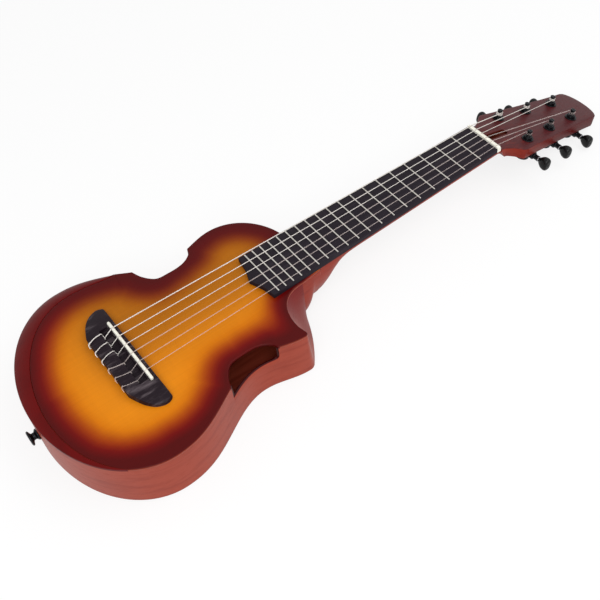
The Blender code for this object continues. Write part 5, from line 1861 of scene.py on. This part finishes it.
@dataclass
class Neck:
    """Neck, heel and headstock in one wood, with the board, frets and nut on it."""

    plan: Plan
    depth_body: float = 0.0124
    depth_nut: float = 0.0112
    power: float = 2.05
    heel_power: float = 8.05
    heel_front: float = 0.048
    head_thick: float = 0.0127
    head_length: float = 0.1687
    shoulder: float = 0.0335
    shoulder_half: float = 0.0363
    tip_half: float = 0.0270
    tip_arc: float = 0.0108
    edge_round: float = 0.0009
    pocket_half: float = 0.0045
    pocket_end: float = 0.038
    pocket_floor: float = 0.0088
    overhang: float = 0.0065
    point: float = 0.0080
    board_round: float = 0.0005
    nut_rise: float = 0.0013
    nut_round: float = 0.0018
    fret_wide: float = 0.0021
    fret_round: float = 0.0012
    start_lean: float = 0.009
    underlap: float = 0.0105
    heel_drops: tuple[float, ...] = (1.0, 1.0, 1.0, 0.955, 0.77, 0.455, 0.19, 0.04, 0.0, 0.0)
    heel_marks: tuple[float, ...] = (-1.0, -0.24, 0.0, 0.13, 0.29, 0.44, 0.58, 0.76, 1.0, 1.3)

    def floor(self, x: Array) -> Array:
        """The underside's height: a straight taper, and the heel's sweep softened by a running mean.

        Args:
            x: places along X.

        Returns:
            The height at each place.
        """
        plan = self.plan
        u = (x - plan.join_x) / self.heel_front
        fine = np.linspace(-1, 1.5, 501)
        raw = np.interp(fine, self.heel_marks, self.heel_drops)
        wide = np.hanning(33)
        smooth = np.convolve(np.pad(raw, 16, mode="edge"), wide / wide.sum(), mode="valid")
        sharp = np.interp(u, self.heel_marks, self.heel_drops)
        share = np.where(u < -0.05, sharp, np.interp(u, fine, smooth))
        start = plan.join_x + self.heel_front
        taper = np.clip((x - start) / (plan.scale_length - start), 0, 1)
        deep = self.depth_body + (self.depth_nut - self.depth_body) * taper
        return plan.depth - deep - (plan.depth - plan.gap - deep) * share

    def rings(self, x: Array, top: Array | float, shrink: float = 1.0) -> Array:
        """Sections across the neck: half a squarish ellipse, squarer where the heel fills its notch.

        Args:
            x: places along X.
            top: the height of the flat side, for all or for each.
            shrink: a share of the width.

        Returns:
            A grid of points, one row a section.
        """
        plan = self.plan
        half = plan.heel_half(x) * shrink
        squarer = self.heel_power - self.power
        bass = self.power + squarer * np.clip((plan.join_x + 0.001 - x) / 0.008, 0, 1)
        treble = self.power + squarer * np.clip((plan.join_x - 0.0077 - x) / 0.0205, 0, 1)
        angles = np.radians(np.linspace(0, 180, 49))
        power = np.where(angles[None] < math.pi / 2, bass[:, None], treble[:, None])
        across = half[:, None] * signed(np.cos(angles), 2 / power)
        down = np.abs(np.sin(angles)) ** (2 / power)
        top = np.broadcast_to(top, x.shape)[:, None]
        along = np.repeat(x[:, None], len(angles), axis=1)
        return np.stack([along, across, top - (top - self.floor(x)[:, None]) * down], axis=2)

    def head_outline(self) -> Array:
        """The headstock's face: a flare, slightly hollow edges and a shallow arc at the tip.

        Returns:
            The closed outline, in the headstock's own plane.
        """
        plan = self.plan
        start = (plan.nut_thick + 3 * plan.gap) / math.cos(HEAD_TILT)
        half = float(plan.board_half(plan.scale_length))
        # (share of the way to the shoulder, share of the widening)
        bends = ((0.0, 0.0), (0.24, 0.05), (0.60, 0.42), (0.85, 0.86), (1.0, 1.0))
        span, rise = self.shoulder - start, self.shoulder_half - half
        flare = catmull([(start + u * span, half + v * rise) for u, v in bends], 10)
        length = self.head_length - self.tip_arc
        t = np.linspace(0, 1, 40)[1:]
        fall = self.shoulder_half + (self.tip_half - self.shoulder_half) * (1 - (1 - t) ** 1.35)
        edge = np.stack([self.shoulder + (length - self.shoulder) * t, fall], axis=1)
        tip = arc((length, 0), (self.tip_arc, self.tip_half), 70, 0, 40)
        return both_sides(np.vstack([flare, edge, tip]))

    def head_shape(self) -> Shape:
        """The headstock: its outline carried down, both edges rounded, its start leaning with the depth.

        Returns:
            The headstock's shape.
        """
        outline = self.head_outline()
        soft = self.edge_round
        rows = [(soft * s, -soft * t) for s, t in quarter(5)[::-1]]
        rows += [(soft * s, -self.head_thick + soft * t) for s, t in quarter(5)]
        near = 1 - np.clip((outline[:, 0] - outline[0, 0]) / (self.shoulder - outline[0, 0]), 0, 1)
        grid = layers(outline, rows)
        grid[..., 0] += self.start_lean * near * -grid[..., 2] / self.head_thick
        return Shape().grid(grid, self.plan.head)

    def pocket_shape(self) -> Shape:
        """The cutter of the truss rod's access slot: straight sides and a half-round end.

        Returns:
            The cutter's shape.
        """
        plan = self.plan
        start = plan.scale_length + plan.nut_thick - 0.002
        half = self.pocket_half
        middle = plan.scale_length + self.pocket_end * math.cos(HEAD_TILT) - half
        outline = np.vstack([arc((middle, 0), (half, half), -90, 90, 16), [(start, half), (start, -half)]])
        heights = (plan.depth - self.pocket_floor, plan.depth + 0.01)
        return Shape().grid(np.stack([level(outline, z) for z in heights]))

    def make_wood(self, palette: Palette) -> None:
        """Neck, heel and headstock joined, with the access slot cut.

        Args:
            palette: the finishes.
        """
        plan = self.plan
        step = plan.join_x + plan.gap
        tail = plan.scale_length + plan.nut_thick + plan.gap
        end = tail + self.underlap
        notch = np.linspace(plan.ridge_x + 0.0001, step, 20)
        inside = self.rings(notch, plan.depth - plan.top_thick - plan.gap)
        heel = np.linspace(step + 0.0001, plan.join_x + 1.5 * self.heel_front, 70)
        shaft = np.linspace(plan.join_x + 1.6 * self.heel_front, tail, 40)
        outside = self.rings(np.concatenate([heel, shaft]), plan.depth)
        sunk = plan.depth - (math.tan(HEAD_TILT) * (end - plan.scale_length) - 0.003 + 0.002)
        last = self.rings(np.array([tail + 0.0001, end]), np.array([plan.depth - 0.0025, sunk]), 0.985)
        base = Shape().grid(np.concatenate([inside, outside, last])).mesh("neck_shaft")
        wood = combined(base, [(self.head_shape(), "UNION"), (self.pocket_shape(), "DIFFERENCE")], 32)
        add_piece("neck_and_headstock", wood, palette.neck, ["neck"])
        dress_node("truss_rod", palette.steel)

    def make_board(self, palette: Palette) -> None:
        """The fretboard with its pointed end and softened top edge.

        Args:
            palette: the finishes.
        """
        plan = self.plan
        end = plan.scale_length - 0.0001
        corner = plan.fret_x(FRET_COUNT) - self.overhang
        half = float(plan.board_half(corner))
        # (share of the point's length, share of the half width)
        bends = ((0.0, 1.0), (0.13, 0.78), (0.30, 0.50), (0.58, 0.28), (1.0, 0.0))
        one = catmull([(corner - u * self.point, v * half) for u, v in bends], 10)
        long = np.linspace(0, 1, 60)[:-1, None]
        bass = np.array([[end, float(plan.board_half(end))]]) * (1 - long) + np.array([[corner, half]]) * long
        soft, high = self.board_round, plan.board_top
        rows = [(0.0, plan.depth + 0.00002), (0.0, high - soft)]
        rows += [(0.3 * soft, high - 0.3 * soft), (soft, high)]
        shape = Shape().grid(layers(both_sides(np.vstack([bass, one])), rows, 1))
        add_piece("board", shape, palette.board, ["fretboard"], sharp=50)

    def make_fret(self, number: int, palette: Palette) -> None:
        """A fret: a half-round crown that closes in a quarter round at each end.

        Args:
            number: the fret's number, from 1 at the nut.
            palette: the finishes.
        """
        plan = self.plan
        x = plan.fret_x(number)
        soft = self.fret_round
        turn = np.radians(np.linspace(0, 90, 7))
        ends = float(plan.board_half(x)) - 0.0005 - soft + soft * np.sin(turn)
        y = np.concatenate([-ends[::-1], [0], ends])[:, None]
        size = np.concatenate([np.cos(turn)[::-1], [1], np.cos(turn)])
        size = np.maximum(size, 0.03)[:, None] ** 0.8
        angles = np.radians(np.linspace(0, 180, 11))
        width = self.fret_wide / 2 * (0.35 + 0.65 * size)
        rise = plan.board_top - 0.00002 + (plan.fret_plane - plan.board_top) * size * np.sin(angles)
        arch = np.stack([x + width * np.cos(angles), y + 0 * angles, rise], axis=2)
        shape = Shape().grid(arch, crown=np.sin(angles) * size)
        add_piece(f"fret_wire_{number:02d}", shape, palette.fret, [f"fret_{number:02d}"], sharp=60)

    def make_nut(self, palette: Palette) -> None:
        """The nut: a rounded profile along Y with a round notch for each string and turned-down ends.

        Args:
            palette: the finishes.
        """
        plan = self.plan
        half = float(plan.board_half(plan.scale_length))
        close = half - 0.002 * (1 - np.sin(np.linspace(0, math.pi / 2, 12)))
        y = np.unique(np.concatenate([np.linspace(-half, half, 320), close, -close]))
        near = np.clip((np.abs(y) - (half - self.nut_round)) / self.nut_round, 0, 1)
        fall = self.nut_round * (1 - np.sqrt(1 - near**2))
        notch = np.zeros(len(y))
        for number in range(1, STRING_COUNT + 1):
            radius = plan.string_radii[number - 1] + 0.00012
            away = np.abs(y - plan.string_y(number, plan.pitch_nut)) / radius
            notch = np.maximum(notch, np.where(away < 1, 1 - 0.35 * away**2, 0))
        high, foot = plan.fret_plane + self.nut_rise, plan.board_z - 0.0002
        cut = high - (plan.fret_plane + 0.0004 + plan.gap)
        front, rear = plan.scale_length, plan.scale_length + plan.nut_thick
        corners = [(front, foot), (front, high - 0.0003), (front + 0.0018, high)]
        corners += [(rear - 0.0014, high - 0.0006), (rear, high - 0.0024), (rear, foot)]
        along, up = rounded(corners, 0.0007, 3).T
        z = up - fall[:, None] * ramp(up, plan.board_z, high - 0.002)
        z = z - notch[:, None] * cut * ramp(up, high - 0.0040, high - 0.0012)
        middle = (front + rear) / 2
        x = middle + (along - middle) * (1 - 0.10 * near**3)[:, None]
        shape = Shape().grid(np.stack([x, np.repeat(y[:, None], len(up), axis=1), z], axis=2))
        add_piece("nut_bone", shape, palette.bone, ["nut"], sharp=40)

    def build(self, palette: Palette) -> None:
        """Makes the wood, the board, the frets and the nut.

        Args:
            palette: the finishes.
        """
        self.make_wood(palette)
        self.make_board(palette)
        for number in range(1, FRET_COUNT + 1):
            self.make_fret(number, palette)
        self.make_nut(palette)


# Tuning machines


@dataclass
class Machines:
    """Six enclosed tuning machines: housing, key with worm and knob, post with gear."""

    plan: Plan
    first: float = 0.0484
    step: float = 0.04045
    offsets: tuple[float, float, float] = (0.0225, 0.0184, 0.0154)
    head_thick: float = 0.0127
    teeth: int = 14
    module: float = 0.00072
    gear_wide: float = 0.0028
    worm_radius: float = 0.0022
    worm_level: float = 0.0178
    worm_turns: float = 2.5
    phase: float = -0.25
    barrel: float = 0.0046
    barrel_end: float = 0.0105
    sleeve: float = 0.0029
    sleeve_end: float = 0.0170
    key_radius: float = 0.0018
    pin_radius: float = 0.0012
    pin_long: float = 0.0018
    ring_radius: float = 0.0028
    knob_start: float = 0.0194
    knob_long: float = 0.0122
    knob_wide: float = 0.0148
    knob_thick: float = 0.0100
    knob_power: float = 2.5
    post_radius: float = 0.0029
    waist: float = 0.0024
    post_top: float = 0.0110
    bush: float = 0.0046
    bush_top: float = 0.0042
    washer: float = 0.0066
    washer_thick: float = 0.0010
    hex_radius: float = 0.0056
    wall: float = 0.0016

    @property
    def gear_radius(self) -> float:
        """The gear's pitch radius: half its teeth times its module."""
        return self.teeth * self.module / 2

    @property
    def tall(self) -> float:
        """How far a tooth stands over the pitch circle."""
        return 0.85 * self.module

    @property
    def deep(self) -> float:
        """How far a tooth's root lies under the pitch circle."""
        return 1.10 * self.module

    @property
    def pitch(self) -> float:
        """The worm's pitch: pi times the module."""
        return math.pi * self.module

    @property
    def worm_away(self) -> float:
        """The distance from the post's axis to the key's."""
        return self.gear_radius + self.worm_radius

    @property
    def worm_end(self) -> float:
        """The worm's run-out, measured from the middle of its thread."""
        return self.pitch * (self.worm_turns / 2 + 0.62)

    def place(self, number: int) -> tuple[int, float, float]:
        """A machine's side sign, its post's distance from the nut and its Y.

        Args:
            number: the machine's number, which is its string's.

        Returns:
            The sign, the distance and the Y.
        """
        side = 1 if number > STRING_COUNT / 2 else -1
        rank = STRING_COUNT - number if side > 0 else number - 1
        return side, self.first + rank * self.step, side * self.offsets[rank]

    def housing(self, at: Matrix, axis: Matrix) -> Shape:
        """Can, barrel, sleeve, cover screw, bushing with washer, and hex nut: each a turned or lofted shell.

        Args:
            at: the post's axis, at the headstock's face.
            axis: the key's axis.

        Returns:
            The housing's shape.
        """
        can = self.gear_radius + self.tall + 0.0006 + self.wall
        roof = -self.head_thick - 0.0001
        floor = -self.worm_level - self.gear_wide / 2 - 0.0035
        low = floor + 0.0002
        rows = [(floor - 0.0002, POLE), (floor - 0.0002, can - 0.0024), (low, can - 0.0020)]
        rows += [(low, can - 0.0006), (floor + 0.0012, can), (roof, can), (roof, POLE)]
        shape = Shape().turned(rows, at, "Z", 64, 0.0005)
        rear, end = -(self.worm_end + self.pin_long + 0.0003), self.barrel_end
        rows = [(rear - 0.0012, POLE), (rear - 0.0012, self.barrel - 0.0008), (rear - 0.0004, self.barrel)]
        rows += [(end - 0.0005, self.barrel), (end, self.barrel - 0.0006), (end, POLE)]
        shape.turned(rows, axis, "Y", 48, 0.0004)
        wide, last = self.sleeve, self.sleeve_end
        rows = [(end - 0.001, wide), (end + 0.0010, wide + 0.0003), (end + 0.0016, wide)]
        rows += [(last - 0.0011, wide), (last - 0.0007, wide + 0.0003), (last, wide + 0.0002)]
        rows += [(last, self.key_radius + 0.0003)]
        shape.turned(rows, axis, "Y", 40, 0.0002)
        face = floor - 0.0009
        rows = [(low, 0.0016), (floor - 0.0005, 0.0016), (face, 0.0011), (face, 0.0005)]
        rows += [(floor - 0.0004, 0.0003)]
        shape.turned(rows, at, "Z", 24, 0.0002)
        bush, washer, thick, top = self.bush, self.washer, self.washer_thick, self.bush_top
        bore = self.post_radius + 0.0002
        rows = [(roof, bush), (0.0001, bush), (0.0001, washer - 0.0003), (0.0004, washer), (thick, washer)]
        rows += [(thick + 0.0002, washer - 0.0003), (thick + 0.0002, bush), (top - 0.0003, bush)]
        rows += [(top, bush - 0.0005), (top, bore), (top - 0.0012, bore)]
        shape.turned(rows, at, "Z", 48, 0.0002, 3)
        return shape.grid(self.hex_ring(), at)

    def hex_ring(self) -> Array:
        """A six-sided nut: a circle cut by its flats, the flats reaching less far at the chamfered ends.

        Returns:
            A grid of points, one row a ring.
        """
        angles = around(72)
        turned = (angles + math.pi / 6) % (math.pi / 3) - math.pi / 6
        flat = self.hex_radius * math.cos(math.pi / 6) / np.cos(turned)
        low, high = self.washer_thick + 0.0001, self.bush_top - 0.0010
        # (height, share of the radius)
        rows = ((low, 0.94), (low + 0.0003, 1.0), (high - 0.0006, 1.0), (high, 0.90))
        return np.stack([polar(np.minimum(flat, self.hex_radius * reach), angles, z) for z, reach in rows])

    def post(self, at: Matrix) -> Shape:
        """Gear and post: the gear's radius is a flat-topped wave of the angle, the post is turned.

        Args:
            at: the post's axis, at the headstock's face.

        Returns:
            The shape of gear and post.
        """
        angles = around(self.teeth * 10)
        wave = (angles * self.teeth / (2 * math.pi) - self.phase + 0.5) % 1 - 0.5
        rise = 1 - ramp(np.abs(wave), 0.13, 0.33)
        radius = self.gear_radius - self.deep + (self.tall + self.deep) * rise
        low, high = -self.worm_level - self.gear_wide / 2, -self.worm_level + self.gear_wide / 2
        rings = ((low, 0.3), (low, 1.0), (high, 1.0), (high, 0.3))
        shape = Shape().grid(np.stack([polar(radius * share, angles, z) for z, share in rings]), at)
        wide, waist, top, bush = self.post_radius, self.waist, self.post_top, self.bush_top
        rows = [(low - 0.0024, POLE), (low - 0.0024, waist * 0.7), (low, waist * 0.7), (low, wide)]
        rows += [(bush + 0.0002, wide), (bush + 0.0006, waist), (top - 0.0018, waist), (top - 0.0013, wide)]
        rows += [(top - 0.0004, wide + 0.00005), (top, wide - 0.0007), (top, 0.0013)]
        rows += [(top - 0.0004, 0.0008), (top - 0.0004, POLE)]
        return shape.turned(rows, at, "Z", 48, 0.00035)

    def key(self, at: Matrix) -> Shape:
        """Worm, shaft, collar and knob: the worm's radius is a flat-topped wave of turn and place.

        Args:
            at: the key's axis.

        Returns:
            The shape of worm, shaft, collar and knob.
        """
        half = self.pitch * self.worm_turns / 2
        y = np.linspace(-half, half, 150)[:, None]
        angles = around(48)[None]
        wave = (y / self.pitch - angles / (2 * math.pi) + 0.5 + 0.25) % 1 - 0.5
        rise = (1 - ramp(np.abs(wave), 0.12, 0.32)) * ramp(y, -half, -half + 0.0006)
        rise = rise * (1 - ramp(y, half - 0.0006, half))
        root = self.worm_radius - self.deep
        radius = root + (self.tall + self.deep) * rise
        worm = np.stack([radius * np.cos(angles), y + 0 * angles, radius * np.sin(angles)], axis=2)
        shape = Shape().grid(worm, at)
        start, end, last = self.barrel_end - 0.0015, -self.worm_end, self.sleeve_end
        shaft, collar, knob = self.key_radius, self.key_radius + 0.0007, self.knob_start
        rows = [(end - self.pin_long, POLE), (end - self.pin_long, self.pin_radius), (end, self.pin_radius)]
        rows += [(end, root), (start, root), (start + 0.0004, shaft), (last + 0.0003, shaft)]
        rows += [(last + 0.0004, collar), (knob - 0.0001, collar), (knob, POLE)]
        shape.turned(rows, at, "Y", 32, 0.0002, 2).grid(self.knob(), at)
        tip = knob + self.knob_long
        rows = [(tip - 0.0010, 0.0017), (tip + 0.0001, 0.0017), (tip + 0.0003, 0.0012)]
        rows += [(tip + 0.0003, 0.0004), (tip - 0.0002, 0.0002)]
        return shape.turned(rows, at, "Y", 24, 0.0002, 3)

    def knob(self) -> Array:
        """The knob: squarish ellipses along Y whose width and thickness follow a smooth swell.

        Returns:
            A grid of points, one row a ring.
        """
        # (share of the length, of the width, of the thickness)
        swell = [(0, 0.42, 0.50), (0.04, 0.52, 0.62), (0.35, 0.88, 0.92), (0.68, 1.0, 1.0)]
        swell += [(0.90, 0.88, 0.90), (0.985, 0.62, 0.64), (1.0, 0.30, 0.30)]
        along, wide, thick = np.split(catmull(swell, 7), 3, axis=1)
        angles = around(64)
        x = self.knob_thick / 2 * thick * signed(np.cos(angles), 2 / self.knob_power)
        z = self.knob_wide / 2 * wide * signed(np.sin(angles), 2 / self.knob_power)
        return np.stack([x, self.knob_start + along * self.knob_long + 0 * angles, z], axis=2)

    def ring(self, at: Matrix) -> Shape:
        """The bright ring on the key's stem.

        Args:
            at: the key's axis.

        Returns:
            The ring's shape.
        """
        low, high = self.sleeve_end + 0.0002, self.sleeve_end + 0.0010
        inner, outer = self.key_radius, self.ring_radius
        rows = [(low, inner), (low, outer), (high, outer), (high, inner)]
        return Shape().turned(rows, at, "Y", 32, 0.0002, 3)

    def build(self, palette: Palette) -> None:
        """Makes the six machines, the treble ones mirrored in Y.

        Args:
            palette: the finishes.
        """
        for number in range(1, STRING_COUNT + 1):
            side, along, across = self.place(number)
            at = self.plan.head @ Matrix.Translation((along, across, 0)) @ Matrix.Diagonal((1, side, 1, 1))
            axis = at @ Matrix.Translation((self.worm_away, 0, -self.worm_level))
            node, key, post = f"tuner_{number}", f"key_{number}", f"post_{number}"
            case = self.housing(at, axis)
            add_piece(f"machine_case_{number}", case, palette.metal, [f"{node}_housing"])
            add_piece(f"machine_{key}", self.key(axis), palette.plastic, [f"{node}_key"], key)
            add_piece(f"machine_{post}", self.post(at), palette.metal, [f"{node}_post"], post)
            add_piece(f"machine_ring_{number}", self.ring(axis), palette.bright, body=key)


@dataclass
class StrapButton:
    """The two-flanged strap button at the tail."""

    plan: Plan
    radius: float = 0.0073
    base: float = 0.0056
    waist: float = 0.0034
    length: float = 0.0090
    height: float = 0.0312
    shank: float = 0.0018

    def build(self, palette: Palette) -> None:
        """A turned button: base flange, waist, wide flange with a dished face, and a shank in the wood.

        Args:
            palette: the finishes.
        """
        seat = self.plan.tail_x - 0.0001
        long, wide, waist = self.length, self.radius, self.waist
        rows = [(seat + 0.012, POLE), (seat + 0.012, self.shank * 0.6), (seat + 0.010, self.shank)]
        rows += [(seat, self.shank), (seat, self.base), (seat - 0.0012, self.base), (seat - 0.0030, waist)]
        rows += [(seat - 0.60 * long, waist), (seat - 0.78 * long, wide), (seat - 0.92 * long, wide)]
        rows += [(seat - long, wide * 0.80), (seat - long, 0.0030), (seat - 0.93 * long, 0.0022)]
        rows += [(seat - 0.93 * long, POLE)]
        shape = Shape().turned(rows, Matrix.Translation((0, 0, self.height)), "X", 56, 0.0006)
        add_piece("tail_strap_button", shape, palette.metal, ["strap_button"])


# Camera and light


@dataclass(frozen=True)
class Studio:
    """Camera, lamps, world and floor."""

    camera_at: tuple[float, float, float] = (-0.122595, -0.507836, 0.735684)
    camera_rows: tuple[tuple[float, float, float], ...] = (
        (0.788898, -0.612328, -0.051914),
        (0.504838, 0.597603, 0.622904),
        (-0.350398, -0.517616, 0.780574),
    )
    lens: float = 55.408
    film: float = 36.0
    shift: tuple[float, float] = (-0.04951, -0.01247)
    world_light: float = 0.62
    floor_half: float = 6.0
    floor_drop: float = 0.0006
    floor_shade: float = 0.90
    floor_glow: float = 0.80

    def make_camera(self) -> None:
        """The camera at the photograph's place and angle."""
        data = bpy.data.cameras.new("camera")
        data.lens = self.lens
        data.sensor_width = self.film
        data.shift_x, data.shift_y = self.shift
        data.clip_start, data.clip_end = 0.01, 50.0
        camera = place_object("camera", data)
        turn = Matrix(self.camera_rows).transposed().to_4x4()
        camera.matrix_world = Matrix.Translation(self.camera_at) @ turn
        bpy.context.scene.camera = camera

    def add_lamp(self, name: str, at: Rows, target: Rows, size: float, power: float) -> None:
        """A square soft lamp that looks at a point.

        Args:
            name: its name.
            at: where it stands.
            target: the point that it looks at.
            size: the length of its side.
            power: its watts.
        """
        data = bpy.data.lights.new(name, "AREA")
        data.shape = "SQUARE"
        data.size = size
        data.energy = power
        away = Vector(at) - Vector(target)
        turn = away.to_track_quat("Z", "Y").to_matrix().to_4x4()
        place_object(name, data).matrix_world = Matrix.Translation(at) @ turn

    def seen(self, paint: Paint) -> Link:
        """1 on rays from the camera, in gloss and through clear matter.

        Args:
            paint: the node tree in the making.

        Returns:
            The value.
        """
        kinds = ("Camera", "Glossy", "Transmission")
        rays = [paint.node("ShaderNodeLightPath", output=f"Is {kind} Ray") for kind in kinds]
        return rays[0].math("MAXIMUM", rays[1]).math("MAXIMUM", rays[2])

    def make_world(self) -> None:
        """An even white world: full white to the eye, in gloss and through clear matter, softer as light."""
        world = bpy.data.worlds.new("studio")
        bpy.context.scene.world = world
        world.use_nodes = True
        paint = Paint("studio", world.node_tree)
        strength = self.seen(paint) * (1 - self.world_light) + self.world_light
        paint.feed(world.node_tree.nodes["Background"], {"Color": (1.0, 1.0, 1.0, 1.0), "Strength": strength})

    def make_floor(self) -> None:
        """A white floor that keeps a faint shadow: part of its light is its own."""
        places = np.array([-self.floor_half, self.floor_half])
        x, y = np.meshgrid(places, places, indexing="ij")
        grid = np.stack([x, y, np.full((2, 2), -self.floor_drop)], axis=2)
        mesh = Shape().grid(grid, wrap=False, caps=False).mesh("floor")
        shade = (self.floor_shade,) * 3 + (1.0,)
        paint = Paint("floor_white")
        paint.finish(Base_Color=shade, Roughness=0.9, Specular_IOR_Level=0.1)
        glow = paint.node("ShaderNodeEmission", {}, {"Strength": 1.0})
        inputs = {0: self.seen(paint) * self.floor_glow, 1: Link(paint, paint.shader.outputs[0]), 2: glow}
        mixed = paint.node("ShaderNodeMixShader", {}, inputs)
        paint.feed(paint.tree.nodes["Material Output"], {"Surface": mixed})
        mesh.materials.append(paint.material)
        place_object("floor", mesh)

    def build(self) -> None:
        """Makes the whole stage."""
        self.make_camera()
        self.make_world()
        self.make_floor()
        self.add_lamp("key_lamp", (-0.55, -0.95, 1.35), (0.05, 0.0, 0.05), 1.1, 15.0)
        self.add_lamp("fill_lamp", (0.9, -0.5, 1.3), (0.35, 0.0, 0.05), 1.2, 7.0)


def main() -> None:
    """Builds the instrument round its frame, and the studio."""
    logging.basicConfig(level=logging.INFO, format="%(name)s: %(message)s")
    bpy.context.scene.view_settings.view_transform = "Standard"
    for name in ("Cube", "Light", "Camera"):
        if name in bpy.data.objects:
            bpy.data.objects.remove(bpy.data.objects[name], do_unlink=True)
    palette = Palette()
    plan = Plan()
    machines = Machines(plan)
    bridge = Bridge(plan)
    Body(plan).build(palette)
    bridge.build(palette)
    Neck(plan).build(palette)
    Strings(plan, bridge).build(palette, machines)
    machines.build(palette)
    StrapButton(plan).build(palette)
    Studio().build()


if __name__ == "__main__":
    main()
